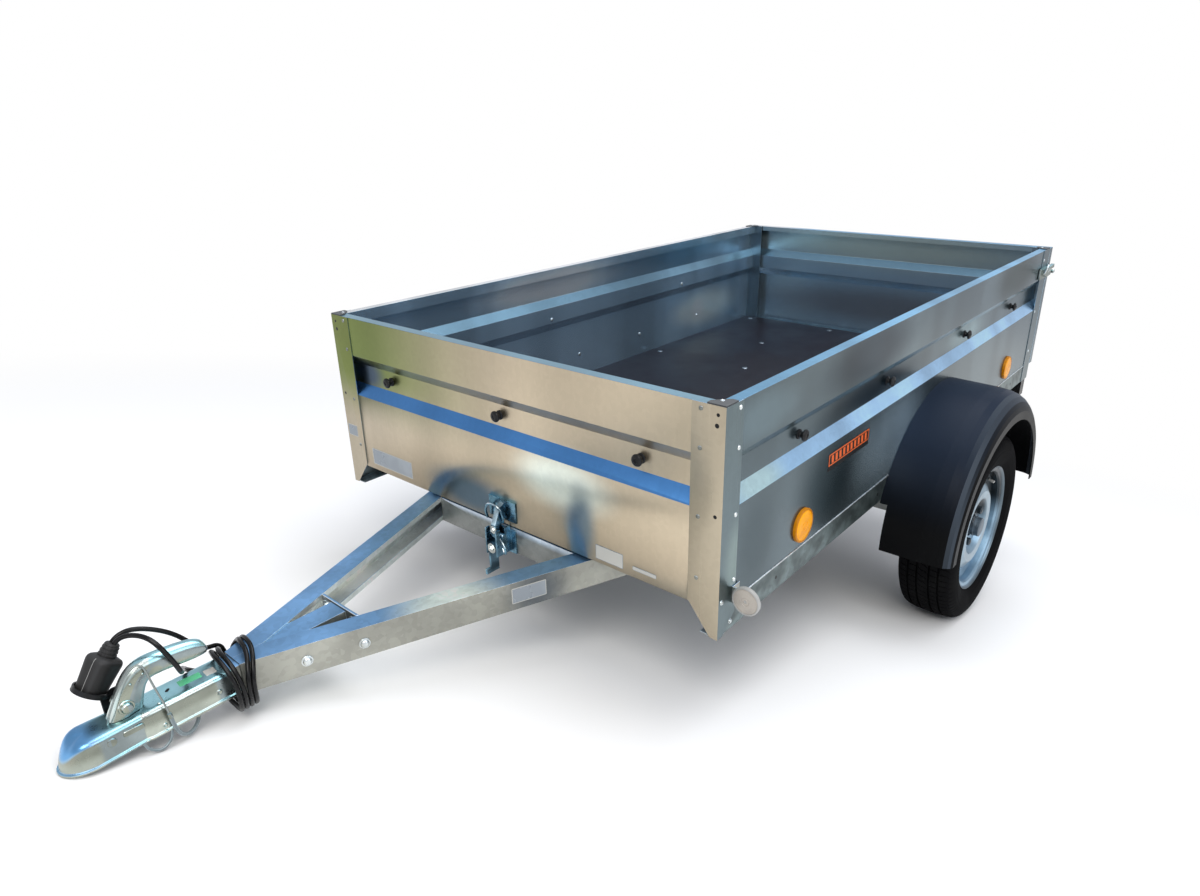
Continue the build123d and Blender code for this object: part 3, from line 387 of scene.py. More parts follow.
def sheetSteel(name, look):
    material, tree, shader = newMaterial(name)
    space = useGroup(tree, levelSpace).outputs
    grain = useGroup(tree, rolledGrain, {
        "Position": space["Position"], "Line Scale": look["lineScale"],
        "Cloud Scale": look["cloudScale"]}).outputs
    tint = useGroup(tree, paintedFacingLight, {
        "Position": space["Position"], "Normal": space["Normal"],
        **tintValues(look, sheetTints)}).outputs
    color = tint["Color"]
    upright = calc(tree, "SUBTRACT", 1.0, tint["Upward"])
    faces = {
        "top": tint["Upward"], "outside": calc(tree, "MULTIPLY", upright, tint["Outward"]),
        "inside": calc(tree, "MULTIPLY", upright, calc(tree, "SUBTRACT", 1.0, tint["Outward"]))}
    # each patch paints a reflection, highlight or shadow into the colour, on the faces it names
    for centre, reach, paintedLightColor, face in look.get("patches", ()):
        paintedLightMask = useGroup(tree, paintedLightPatch, {
            "Position": space["Position"], "Centre": centre, "Reach": reach}).outputs["Mask"]
        color = blend(tree, calc(tree, "MULTIPLY", paintedLightMask, faces[face]), color, opaque(paintedLightColor))
    depth = look["cloudDepth"]
    cloud = between(tree, grain["Clouds"], 0.3, 0.7, 1 - depth, 1 + depth)
    flower = between(tree, grain["Flowers"], 0.0, 1.0, 1 - look["flowers"], 1 + look["flowers"])
    shade = calc(tree, "MULTIPLY", cloud, flower)
    streak = look.get("streak", 0.05)
    rough = between(tree, grain["Lines"], 0.3, 0.7, look["rough"] - streak, look["rough"] + streak)
    height = calc(tree, "MULTIPLY_ADD", grain["Specks"], 0.5, grain["Lines"])
    setInputs(tree, shader, {
        "Base Color": scaled(tree, color, shade), "Roughness": rough, "Metallic": look["metallic"],
        "Normal": relief(tree, height, look["bump"], finishForm["sheetDepth"])})
    return material


def useSkin(tree, look):
    space = useGroup(tree, levelSpace).outputs
    return useGroup(tree, mouldedSkin, {
        "Position": space["Position"], "Normal": space["Normal"], **tintValues(look, skinTints),
        "Grain Scale": look.get("grainScale", 900.0), "Patch Scale": look.get("patchScale", 12.0),
    }).outputs, space["Position"]


def mouldedFinish(name, look):
    material, tree, shader = newMaterial(name)
    skin, _ = useSkin(tree, look)
    setInputs(tree, shader, {
        "Base Color": skin["Color"], "Roughness": unevenRough(tree, skin["Patches"], look["rough"]),
        "Normal": relief(tree, skin["Grain"], look.get("bump", 0.15), finishForm["skinDepth"]),
        "Metallic": look.get("metallic", 0.0), "Specular IOR Level": look.get("specular", 0.5)})
    return material


def lensFinish(name, look):
    # moulded lens with rows of small prisms under a clear gloss
    material, tree, shader = newMaterial(name)
    skin, position = useSkin(tree, look)
    prisms = addNode(tree, "ShaderNodeTexVoronoi", {
        "Vector": position, "Scale": look["prismScale"], "Randomness": 0.05})
    distance = prisms.outputs["Distance"]
    tone = between(tree, distance, 0.0, 0.7, *finishForm["prismTone"])
    setInputs(tree, shader, {
        "Base Color": scaled(tree, skin["Color"], tone), "Roughness": look["rough"],
        "Normal": relief(tree, distance, finishForm["prismBump"], finishForm["prismDepth"]),
        "Specular IOR Level": look["specular"], "Coat Weight": look["coat"],
        "Coat Roughness": finishForm["gloss"]})
    return material


# ridge a painted highlight, high painted shade above the axle, low a painted sky reflection below it,
# flange the rim edge's own tint
rimLook = {
    "ridge": (0.34, 0.43, 0.49), "high": (0.026, 0.034, 0.040), "low": (0.27, 0.40, 0.51),
    "flange": (0.13, 0.165, 0.19), "rough": 0.34, "metallic": 0.85,
}


def rimFinish(name, look):
    material, tree, shader = newMaterial(name)
    space = useGroup(tree, levelSpace).outputs
    shade = useGroup(tree, rimShade, {
        "Position": space["Position"], **tintValues(look, rimTints)}).outputs["Color"]
    skin = useGroup(tree, mouldedSkin, {
        "Position": space["Position"], "Normal": space["Normal"], "Base": shade, "Worn": shade,
        "Top": shade, "Shoulder Highlight": shade, "Grain Scale": 1600.0, "Patch Scale": 16.0}).outputs
    dust = between(tree, skin["Patches"], 0.3, 0.7, *finishForm["rimDust"])
    setInputs(tree, shader, {
        "Base Color": scaled(tree, skin["Color"], dust),
        "Roughness": unevenRough(tree, skin["Patches"], look["rough"]),
        "Normal": relief(tree, skin["Grain"], finishForm["rimBump"], finishForm["skinDepth"]),
        "Metallic": look["metallic"]})
    return material


# lit and shaded copies of one galvanised steel; their facing colours are painted light: up, upInside, lip
# and lipFar a painted sky reflection, edge a painted highlight, ahead a painted warm reflection and
# aheadFar a painted green one, side and inside painted shade and light on upright faces; patches are
# painted pools
steelLooks = {
    "frontSteel": {
        "ahead": (0.50, 0.42, 0.305), "aheadFar": (0.165, 0.205, 0.060), "side": (0.20, 0.22, 0.20),
        "up": (0.085, 0.25, 0.55), "lip": (0.27, 0.46, 0.56), "upInside": (0.15, 0.28, 0.40),
        "inside": (0.34, 0.44, 0.54),
        "rough": 0.33, "metallic": 1.0, "bump": 0.03, "cloudDepth": 0.12, "flowers": 0.02,
        "lineScale": (1, 240, 1.2), "cloudScale": (2, 5, 1.5),
        # painted reflections on the front wall: a dark one of the drawbar's shade, a bright pool and two
        # darker pools
        "patches": (
            ((1.118, -0.10, 0.545), (0.3, 0.20, 0.075), (0.13, 0.19, 0.24), "outside"),
            ((1.118, 0.20, 0.66), (0.3, 0.18, 0.09), (0.76, 0.80, 0.70), "outside"),
            ((1.118, 0.255, 0.57), (0.3, 0.055, 0.13), (0.20, 0.25, 0.27), "outside"),
            ((1.098, -0.50, 0.765), (0.1, 0.09, 0.06), (0.07, 0.10, 0.14), "outside"),
        )},
    "sideSteel": {
        "ahead": (0.40, 0.37, 0.28), "side": (0.118, 0.158, 0.175), "up": (0.40, 0.62, 0.90),
        "upInside": (0.17, 0.30, 0.40), "lip": (0.20, 0.50, 0.76), "lipFar": (0.98, 1.0, 1.0),
        "edge": (0.43, 0.68, 0.95), "inside": (0.40, 0.56, 0.70),
        "rough": 0.27, "metallic": 0.88, "bump": 0.0005, "streak": 0.001, "cloudDepth": 0.22,
        "flowers": 0.03, "lineScale": (14, 1, 0.7), "cloudScale": (6.5, 0.5, 0.5),
        # painted reflections and shade: dark and bright pools on the walls' outsides, a painted highlight
        # on a sloped band, a band along a crease, bright and dark pools inside the right wall, two bands
        # inside the tailgate
        "patches": (
            ((0.50, 0.6, 0.87), (0.34, 0.6, 0.10), (0.020, 0.036, 0.050), "outside"),
            ((0.98, 0.6, 0.86), (0.16, 0.3, 0.07), (0.18, 0.25, 0.28), "outside"),
            ((-0.62, 0.6, 0.87), (0.32, 0.6, 0.10), (0.016, 0.034, 0.030), "outside"),
            ((0.40, 0.58, 0.765), (0.40, 0.3, 0.060), (0.012, 0.028, 0.040), "outside"),
            ((-0.21, 0.58, 0.765), (0.22, 0.3, 0.060), (0.23, 0.32, 0.34), "outside"),
            ((0.68, 0.6, 0.62), (0.19, 0.3, 0.17), (0.028, 0.058, 0.072), "outside"),
            ((0.30, 0.6, 0.60), (0.30, 0.3, 0.17), (0.56, 0.72, 0.80), "outside"),
            ((0.99, 0.6, 0.60), (0.10, 0.3, 0.14), (0.080, 0.115, 0.13), "outside"),
            ((0.98, 0.6, 0.72), (0.13, 0.3, 0.05), (0.70, 0.96, 1.0), "top"),
            ((0.1, 0.59, 0.80), (2.0, 0.5, 0.017), (0.19, 0.26, 0.28), "outside"),
            ((0.30, -0.58, 0.86), (0.44, 0.3, 0.09), (0.95, 1.0, 1.0), "inside"),
            ((-0.43, -0.58, 0.86), (0.34, 0.3, 0.10), (0.18, 0.31, 0.42), "inside"),
            ((-0.62, -0.59, 0.62), (0.30, 0.3, 0.10), (0.88, 1.0, 1.0), "inside"),
            ((-0.98, 0.0, 0.62), (0.1, 0.9, 0.11), (0.27, 0.32, 0.38), "inside"),
            ((-0.98, 0.0, 0.86), (0.1, 0.9, 0.11), (0.62, 0.74, 0.70), "inside"),
        )},
    "railSteel": {
        "ahead": (0.40, 0.37, 0.28), "side": (0.13, 0.165, 0.165), "up": (0.50, 0.62, 0.70),
        "edge": (0.80, 0.90, 0.95), "inside": (0.30, 0.36, 0.38),
        "rough": 0.38, "metallic": 0.88, "bump": 0.10, "cloudDepth": 0.35, "flowers": 0.10,
        "lineScale": (60, 20, 60), "cloudScale": (22, 10, 30)},
    "postSteel": {
        "ahead": (0.41, 0.355, 0.265), "aheadFar": (0.18, 0.215, 0.070), "side": (0.135, 0.175, 0.185),
        "up": (0.36, 0.48, 0.60), "edge": (0.62, 0.66, 0.64), "inside": (0.30, 0.38, 0.44),
        "rough": 0.32, "metallic": 1.0, "bump": 0.03, "cloudDepth": 0.12, "flowers": 0.02,
        "lineScale": (200, 200, 1.5), "cloudScale": (3, 3, 1.5),
        # a painted shadow on the front posts' outer side
        "patches": (((1.065, 0.6, 0.59), (0.052, 0.1, 0.12), (0.22, 0.28, 0.27), "outside"),)},
    "frameSteel": {
        "ahead": (0.25, 0.26, 0.25), "side": (0.34, 0.34, 0.30), "up": (0.19, 0.38, 0.64),
        "edge": (0.90, 0.96, 1.0), "inside": (0.86, 0.94, 0.92),
        "rough": 0.36, "metallic": 0.85, "bump": 0.12, "cloudDepth": 0.16, "flowers": 0.06,
        "lineScale": (3, 160, 160), "cloudScale": (9, 9, 9),
        # painted highlights on the drawbar's flanges and web, and one painted shadow
        "patches": (
            ((1.41, 0.17, 0.50), (0.15, 0.14, 0.2), (0.86, 0.98, 0.96), "top"),
            ((1.24, 0.25, 0.46), (0.10, 0.1, 0.1), (0.13, 0.145, 0.155), "outside"),
            ((1.45, -0.16, 0.46), (0.30, 0.14, 0.3), (1.0, 1.0, 1.0), "outside"),
            ((1.36, -0.20, 0.42), (0.60, 0.30, 0.05), (1.0, 1.0, 0.98), "top"),
        )},
    "zincPlate": {
        "ahead": (0.34, 0.33, 0.26), "side": (0.30, 0.32, 0.26), "up": (0.39, 0.68, 0.74),
        "edge": (0.62, 0.68, 0.64), "inside": (0.26, 0.30, 0.30),
        "rough": 0.30, "metallic": 1.0, "bump": 0.04, "cloudDepth": 0.16, "flowers": 0.03,
        "lineScale": (40, 40, 40), "cloudScale": (14, 14, 26),
        # painted shade and light banding the coupling head's sides, and a painted sky reflection on its
        # nose
        "patches": (
            ((1.86, 0.0, 0.478), (0.30, 0.4, 0.034), (0.235, 0.25, 0.21), "outside"),
            ((1.93, 0.0, 0.452), (0.40, 0.4, 0.024), (0.40, 0.43, 0.37), "outside"),
            ((2.03, 0.0, 0.49), (0.06, 0.1, 0.1), (0.15, 0.37, 0.66), "top"),
        )},
    "brightZinc": {
        "ahead": (0.62, 0.64, 0.60), "side": (0.66, 0.70, 0.70), "up": (0.55, 0.64, 0.72),
        "edge": (0.80, 0.84, 0.84), "inside": (0.50, 0.55, 0.56),
        "rough": 0.28, "metallic": 0.9, "bump": 0.04, "cloudDepth": 0.2, "flowers": 0.02,
        "lineScale": (60, 60, 60), "cloudScale": (40, 40, 40)},
    "dullZinc": {
        "ahead": (0.20, 0.21, 0.19), "side": (0.17, 0.19, 0.19), "up": (0.24, 0.28, 0.32),
        "edge": (0.40, 0.44, 0.46), "inside": (0.14, 0.16, 0.17),
        "rough": 0.36, "metallic": 0.9, "bump": 0.06, "cloudDepth": 0.25, "flowers": 0.02,
        "lineScale": (60, 60, 60), "cloudScale": (40, 40, 40)},
    # zinc tinted blue: a painted sky reflection on the tilt latch
    "paintedSkyZinc": {
        "ahead": (0.16, 0.29, 0.38), "side": (0.15, 0.27, 0.36), "up": (0.22, 0.48, 0.64),
        "edge": (0.75, 0.88, 0.94), "inside": (0.10, 0.17, 0.22),
        "rough": 0.24, "metallic": 1.0, "bump": 0.05, "cloudDepth": 0.5, "flowers": 0.05,
        "lineScale": (60, 60, 60), "cloudScale": (30, 30, 40)},
}
mouldedLooks = {
    "floorBoard": {"color": (0.020, 0.015, 0.022), "worn": (0.045, 0.045, 0.060),
                   "top": (0.012, 0.011, 0.016), "rough": 0.36, "patchScale": 5.0,
                   "grainScale": 380.0, "specular": 0.14},
    "blackPlasticAndHoleShade": {"color": (0.006, 0.006, 0.0065), "worn": (0.010, 0.010, 0.011),
                     "top": (0.012, 0.013, 0.015), "rough": 0.30, "specular": 0.22},
    "capPlastic": {"color": (0.045, 0.048, 0.052), "worn": (0.06, 0.065, 0.07),
                   "top": (0.075, 0.08, 0.085), "rough": 0.5, "specular": 0.25},
    # its bluish top is a painted sheen and its shoulder a painted highlight
    "fenderPlastic": {"color": (0.0026, 0.0028, 0.0032), "worn": (0.0036, 0.004, 0.005),
                      "top": (0.012, 0.019, 0.034), "shoulderHighlight": (0.040, 0.050, 0.064),
                      "rough": 0.36, "grainScale": 620.0, "bump": 0.22, "specular": 0.045,
                      "patchScale": 3.5},
    "blankPlate": {"color": (0.62, 0.62, 0.60), "worn": (0.55, 0.55, 0.53), "rough": 0.4},
    "softRubber": {"color": (0.012, 0.012, 0.012), "rough": 0.7, "specular": 0.15},
    "tyreRubber": {"color": (0.0050, 0.0050, 0.0055), "worn": (0.0085, 0.0085, 0.0085),
                   "rough": 0.7, "grainScale": 500.0, "bump": 0.3, "specular": 0.015},
    "hubSteel": {"color": (0.10, 0.13, 0.16), "worn": (0.06, 0.08, 0.10), "top": (0.14, 0.18, 0.22),
                 "rough": 0.4, "metallic": 0.7, "grainScale": 1600.0, "bump": 0.05},
    # near black: painted shade, the nuts sitting in shade deep in the wheel's dish
    "nutSteelPaintedShade": {"color": (0.020, 0.028, 0.034), "worn": (0.045, 0.052, 0.058),
                 "top": (0.05, 0.065, 0.08), "rough": 0.38, "metallic": 0.6, "grainScale": 1600.0,
                 "bump": 0.08},
    "cableSheath": {"color": (0.0030, 0.0030, 0.0034), "worn": (0.006, 0.006, 0.0065),
                    "rough": 0.26, "specular": 0.26, "bump": 0.06},
    "plugPlastic": {"color": (0.0125, 0.0120, 0.0120), "worn": (0.020, 0.0195, 0.0195),
                    "top": (0.030, 0.030, 0.031), "rough": 0.42, "specular": 0.2},
    # pale grey: a painted highlight on the plug's seam beads, plain grey on the reflector rims and the
    # valve
    "greyAndSeamHighlight": {"color": (0.34, 0.34, 0.33), "worn": (0.24, 0.24, 0.23), "rough": 0.4},
    "wireSteel": {"color": (0.24, 0.27, 0.26), "worn": (0.13, 0.15, 0.145), "rough": 0.3,
                  "metallic": 0.6},
    "greySleeve": {"color": (0.15, 0.19, 0.205), "worn": (0.085, 0.11, 0.12),
                   "top": (0.25, 0.30, 0.32), "rough": 0.3, "patchScale": 40.0},
    "labelGreen": {"color": (0.10, 0.52, 0.26), "worn": (0.16, 0.58, 0.33), "rough": 0.35},
    "labelFilm": {"color": (0.44, 0.44, 0.41), "worn": (0.36, 0.36, 0.34), "rough": 0.35},
    "labelSilver": {"color": (0.24, 0.27, 0.30), "worn": (0.32, 0.35, 0.38), "rough": 0.3,
                    "metallic": 0.3},
    "labelBlack": {"color": (0.007, 0.007, 0.008), "worn": (0.012, 0.012, 0.012), "rough": 0.35,
                   "specular": 0.15},
    "labelOrange": {"color": (0.66, 0.115, 0.022), "worn": (0.50, 0.08, 0.015), "rough": 0.35,
                    "specular": 0.2},
}
lensLooks = {
    "amberLens": {"color": (0.92, 0.37, 0.001), "worn": (0.74, 0.26, 0.001), "rough": 0.25,
                  "patchScale": 30.0, "prismScale": 330.0, "coat": 0.05, "specular": 0.12},
    "amberRim": {"color": (0.55, 0.20, 0.001), "worn": (0.42, 0.14, 0.001), "rough": 0.3,
                 "patchScale": 30.0, "prismScale": 900.0, "coat": 0.05, "specular": 0.12},
    "whiteLens": {"color": (0.44, 0.40, 0.35), "worn": (0.34, 0.31, 0.28), "rough": 0.22,
                  "patchScale": 45.0, "prismScale": 400.0, "coat": 0.4, "specular": 0.4},
    "redLens": {"color": (0.34, 0.006, 0.004), "worn": (0.22, 0.003, 0.002), "rough": 0.22,
                "patchScale": 20.0, "prismScale": 260.0, "coat": 0.3, "specular": 0.3},
}
materials = {name: sheetSteel(name, look) for name, look in steelLooks.items()}
materials.update({name: mouldedFinish(name, look) for name, look in mouldedLooks.items()})
materials.update({name: lensFinish(name, look) for name, look in lensLooks.items()})
materials["rimPaint"] = rimFinish("rimPaint", rimLook)
print("materials made:", len(materials))

nodeFinishes = {
    "frontSteel": ["wall_front"],
    "sideSteel": ["wall_left", "wall_right", "gate_panel"],
    "railSteel": ["side_rails", "rear_sill"],
    "postSteel": ["post_front_left", "post_front_right", "post_rear_left", "post_rear_right"],
    "frameSteel": [
        "cross_bearers", "floor_stringers", "pivot_plates", "hinge_brackets", "gate_hinges",
        "drawbar_left", "drawbar_right", "front_crossbeam", "neck_tube", "neck_brace", "axle_beam",
        "axle_brackets", "swing_arms", "reflector_brackets"],
    "zincPlate": [
        "gate_latches", "gate_strikers", "stub_axles", "pivot_pins", "coupling_body",
        "coupling_handle"],
    "hubSteel": ["hub_left", "hub_right"],
    "paintedSkyZinc": ["tilt_latch_upper", "tilt_latch_lower"],
    "floorBoard": ["floor_panel"],
    "blackPlasticAndHoleShade": ["rope_knobs", "plug_holder", "lead_gland", "trailer_plug", "tail_lamps"],
    "capPlastic": ["corner_caps"],
    "fenderPlastic": ["fender_left", "fender_right"],
    "amberLens": ["amber_reflectors"],
    "whiteLens": ["front_reflectors"],
    "blankPlate": ["number_plate"],
    "softRubber": ["rest_pads"],
    "tyreRubber": ["tyre_left", "tyre_right"],
    "rimPaint": ["rim_left", "rim_right"],
}
for finish, names in nodeFinishes.items():
    for name in names:
        for slot in nodes[name].material_slots:
            slot.material = materials[finish]

# edges that are folded or rolled round: bevel width in millimetres
softEdges = {
    0.6: ["wall_front", "wall_left", "wall_right", "gate_panel", "tilt_latch_lower"],
    0.9: ["post_front_left", "post_front_right", "post_rear_left", "post_rear_right",
          "reflector_brackets", "corner_caps", "gate_latches"],
    1.4: ["drawbar_left", "drawbar_right", "side_rails", "rear_sill", "cross_bearers",
          "floor_stringers", "tilt_latch_upper"],
    2.2: ["front_crossbeam", "neck_tube", "neck_brace", "axle_beam", "axle_brackets"],
}

edgeRolling = {"mergeDistance": 0.00002, "segments": 2, "degrees": 18}


def softenEdges():
    for width, names in softEdges.items():
        for name in names:
            node = nodes[name]
            weld = node.modifiers.new("joinSeams", "WELD")
            weld.merge_threshold = edgeRolling["mergeDistance"]
            bevel = node.modifiers.new("rollEdges", "BEVEL")
            bevel.width = width / 1000
            bevel.segments = edgeRolling["segments"]
            bevel.limit_method = "ANGLE"
            bevel.angle_limit = math.radians(edgeRolling["degrees"])
            bevel.use_clamp_overlap = True
            bevel.harden_normals = True


def startShape():
    return {"points": [], "faces": [], "marks": []}


def addRings(shape, rings, mark=0, caps=True):
    # skin between rings of points; a ring of one point closes to a tip
    starts = []
    for ring in rings:
        starts.append((len(shape["points"]), len(ring)))
        shape["points"].extend(tuple(spot) for spot in ring)
    for (a, countA), (b, countB) in zip(starts, starts[1:]):
        for i in range(max(countA, countB)):
            j = i + 1
            face = [a + i % countA, a + j % countA, b + j % countB, b + i % countB]
            shape["faces"].append(list(dict.fromkeys(face)))
            shape["marks"].append(mark)
    if caps:
        for start, count in (starts[0], starts[-1]):
            if count > 2:
                shape["faces"].append(list(range(start, start + count)))
                shape["marks"].append(mark)


def turnedRings(origin, axis, profile, sides, spin=0.0):
    # rings round an axis from (distance along it, radius) pairs
    turn = Vector(axis).normalized().to_track_quat("Z", "Y").to_matrix()
    base = Vector(origin)
    rings = []
    for along, radius in profile:
        if radius == 0:
            rings.append([base + turn @ Vector((0, 0, along))])
            continue
        ring = []
        for i in range(sides):
            angle = spin + 2 * math.pi * i / sides
            ring.append(base + turn @ Vector((radius * math.cos(angle), radius * math.sin(angle), along)))
        rings.append(ring)
    return rings


def addTurned(shape, origin, axis, profile, sides=24, mark=0, spin=0.0):
    addRings(shape, turnedRings(origin, axis, profile, sides, spin), mark)


def addPad(shape, origin, across, up, width, height, thickness, corner=1.5, edge=0.25, mark=0):
    # a thin plate with rounded corners and an eased rim, standing out from a surface
    a = Vector(across).normalized()
    b = Vector(up).normalized()
    out = a.cross(b)
    rings = []
    for inset, lift in ((0, 0), (0, thickness - edge), (edge, thickness)):
        ring = []
        r = max(corner - inset, 0.05)
        for signA, signB, start in ((1, 1, 0), (-1, 1, 90), (-1, -1, 180), (1, -1, 270)):
            for step in range(5):
                angle = math.radians(start + 22.5 * step)
                u = signA * (width / 2 - corner) + r * math.cos(angle)
                v = signB * (height / 2 - corner) + r * math.sin(angle)
                ring.append(Vector(origin) + a * u + b * v + out * lift)
        rings.append(ring)
    addRings(shape, rings, mark)


def addDome(shape, origin, axis, radius, height, sides=16, mark=0):
    # a rivet head
    profile = [(0, radius)]
    for step in range(1, 5):
        angle = math.radians(22.5 * step)
        profile.append((height * math.sin(angle), radius * math.cos(angle) if step < 4 else 0))
    addTurned(shape, origin, axis, profile, sides, mark)


def addHexBolt(shape, origin, axis, flats, mark=0):
    # washer, chamfered nut and the end of the bolt
    washer = flats * 0.95
    addTurned(shape, origin, axis, [(0, washer), (1.4, washer), (1.8, washer - 0.5)], 28, mark)
    corner = flats / 2 / math.cos(math.pi / 6)
    addTurned(shape, origin, axis, [
        (1.5, corner), (flats * 0.38, corner), (flats * 0.45, corner * 0.9)], 6, mark, spin=0.3)
    bolt = flats * 0.3
    addTurned(shape, origin, axis, [
        (flats * 0.4, bolt), (flats * 0.62, bolt), (flats * 0.68, bolt * 0.8)], 20, mark)


def makePiece(shape, name, finishes, body, sharp=32):
    mesh = bpy.data.meshes.new(name)
    mesh.from_pydata([place(*spot) for spot in shape["points"]], [], shape["faces"])
    for finish in finishes:
        mesh.materials.append(materials[finish])
    mesh.polygons.foreach_set("material_index", shape["marks"])
    tidy = bmesh.new()
    tidy.from_mesh(mesh)
    bmesh.ops.recalc_face_normals(tidy, faces=tidy.faces)
    tidy.to_mesh(mesh)
    tidy.free()
    mesh.polygons.foreach_set("use_smooth", [True] * len(mesh.polygons))
    mesh.set_sharp_from_angle(angle=math.radians(sharp))
    piece = bpy.data.objects.new(name, mesh)
    bpy.context.collection.objects.link(piece)
    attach(piece, body)
    return piece


def eased(share):
    return share * share * (3 - 2 * share)


def smoothLine(points, count):
    # evenly numbered spots on a smooth line through the points
    ends = [2 * Vector(points[0]) - Vector(points[1])] + [Vector(p) for p in points]
    ends.append(2 * Vector(points[-1]) - Vector(points[-2]))
    spots = []
    for i in range(count):
        t = i / (count - 1) * (len(points) - 1)
        k = min(int(t), len(points) - 2)
        u = t - k
        p0, p1, p2, p3 = ends[k:k + 4]
        spots.append(0.5 * (
            2 * p1 + (p2 - p0) * u + (2 * p0 - 5 * p1 + 4 * p2 - p3) * u * u
            + (3 * p1 - p0 - 3 * p2 + p3) * u ** 3))
    return spots


lead = {
    "diameter": 8.5, "coilHeight": 457.6, "stepDegrees": 15.0,
    "reliefLength": 26.0, "reliefRadius": 6.4, "reliefTaper": 1.7, "reliefRib": 0.35,
    "mainRoute": [
        (1929.4, -57.6, 585.8), (1923.6, -57.6, 593.6), (1912.5, -56.5, 600.2),
        (1898.0, -54.5, 602.2), (1881.5, -51.0, 597.5), (1864.0, -47.5, 588.0),
        (1847.0, -44.5, 575.5), (1832.0, -42.5, 560.0), (1820.0, -41.0, 543.5),
        (1810.0, -40.5, 527.0), (1799.5, -41.0, 514.5)],
    "secondRoute": [
        (1929.4, -48.4, 585.8), (1923.4, -48.2, 593.8), (1915.6, -43.8, 600.8),
        (1905.5, -31.5, 606.3), (1895.0, -12.8, 608.0), (1886.5, 4.5, 603.5),
        (1880.5, 18.0, 592.5), (1875.0, 25.5, 578.0), (1869.5, 28.0, 562.5),
        (1864.5, 28.0, 546.5), (1859.5, 21.5, 531.5), (1854.0, 7.5, 521.5),
        (1848.5, -9.0, 514.5), (1843.0, -25.0, 507.0), (1836.5, -37.5, 496.0),
        (1828.5, -45.5, 484.5), (1819.0, -51.5, 474.0), (1809.0, -56.0, 464.0),
        (1799.5, -58.6, 452.5), (1792.0, -58.2, 439.5)],
    # turns round the neck: degrees from the near side over the top, x, radius
    "mainTurns": [
        (131, 1786, 68.0), (137, 1775, 68.0), (142, 1767.5, 67.0), (149, 1761.5, 64.8),
        (158, 1758.3, 61.0), (168, 1757.5, 58.8), (270, 1761, 58.5), (360, 1773, 58.5),
        (450, 1747, 58.5),
        (490, 1738, 58.5), (528, 1745.5, 58.5), (630, 1752, 58.5), (720, 1764, 58.5),
        (810, 1736, 58.5), (840, 1731.5, 58.7), (855, 1729.5, 59.3), (868, 1725.5, 61.0),
        (878, 1719, 63.2), (884.5, 1711, 65.4)],
    "secondTurns": [
        (210, 1786.5, 59.0), (225, 1782.5, 58.7), (245, 1780.3, 58.5), (270, 1779.5, 58.5),
        (360, 1791.5, 58.5), (450, 1797, 58.5), (485, 1789, 58.5), (510, 1777.5, 58.5),
        (528, 1772, 58.5), (560, 1769, 58.5), (630, 1770.3, 58.5), (720, 1782.3, 58.5),
        (810, 1786, 58.5), (840, 1778, 58.5), (860, 1771.0, 59.5), (874, 1768, 63.5),
        (884, 1766, 67.0), (893, 1760, 68.2), (899.5, 1751, 68.2), (903, 1740, 67.6)],
    "mainTail": [(1703.0, -65.6, 471.5), (1694.0, -66.5, 469.8)],
    "secondTail": [(1727.0, -67.2, 454.2), (1711.0, -67.2, 457.0), (1694.0, -67.5, 460.3)],
}
wire = {
    "diameter": 3.5,
    "route": [
        (1978.0, 10.5, 495.0), (1976.5, 13.0, 505.0), (1967.0, 15.5, 526.0),
        (1952.0, 15.5, 550.0), (1936.5, 15.5, 568.5), (1923.0, 16.5, 577.8),
        (1914.0, 20.5, 577.0), (1910.0, 23.5, 566.0), (1908.5, 27.0, 550.0),
        (1905.5, 35.0, 526.0), (1901.0, 42.0, 500.5), (1898.5, 44.0, 476.5),
        (1896.0, 43.4, 455.5), (1891.0, 40.5, 436.0), (1881.0, 34.0, 420.5),
        (1867.0, 25.0, 413.8), (1854.0, 15.5, 416.4), (1846.0, 9.2, 424.5),
        (1846.0, 9.2, 435.1)],
    # stiff sleeved eye under the lip beside the loop
    "bail": [
        (1899.0, 35.0, 446.5), (1901.0, 35.5, 436.0), (1908.0, 36.5, 425.5), (1919.0, 37.5, 421.0),
        (1930.0, 37.0, 424.5), (1939.0, 36.0, 434.0), (1943.5, 35.0, 446.5)],
    "bailDiameter": 5.0, "sleeveFrom": 0.60, "sleeveTo": 0.985, "sleeveDiameter": 6.6,
    # the ferrules' radii against the sleeve's
    "ferrule": (0.9, 1.22, 1.26, 1.22, 0.9),
}
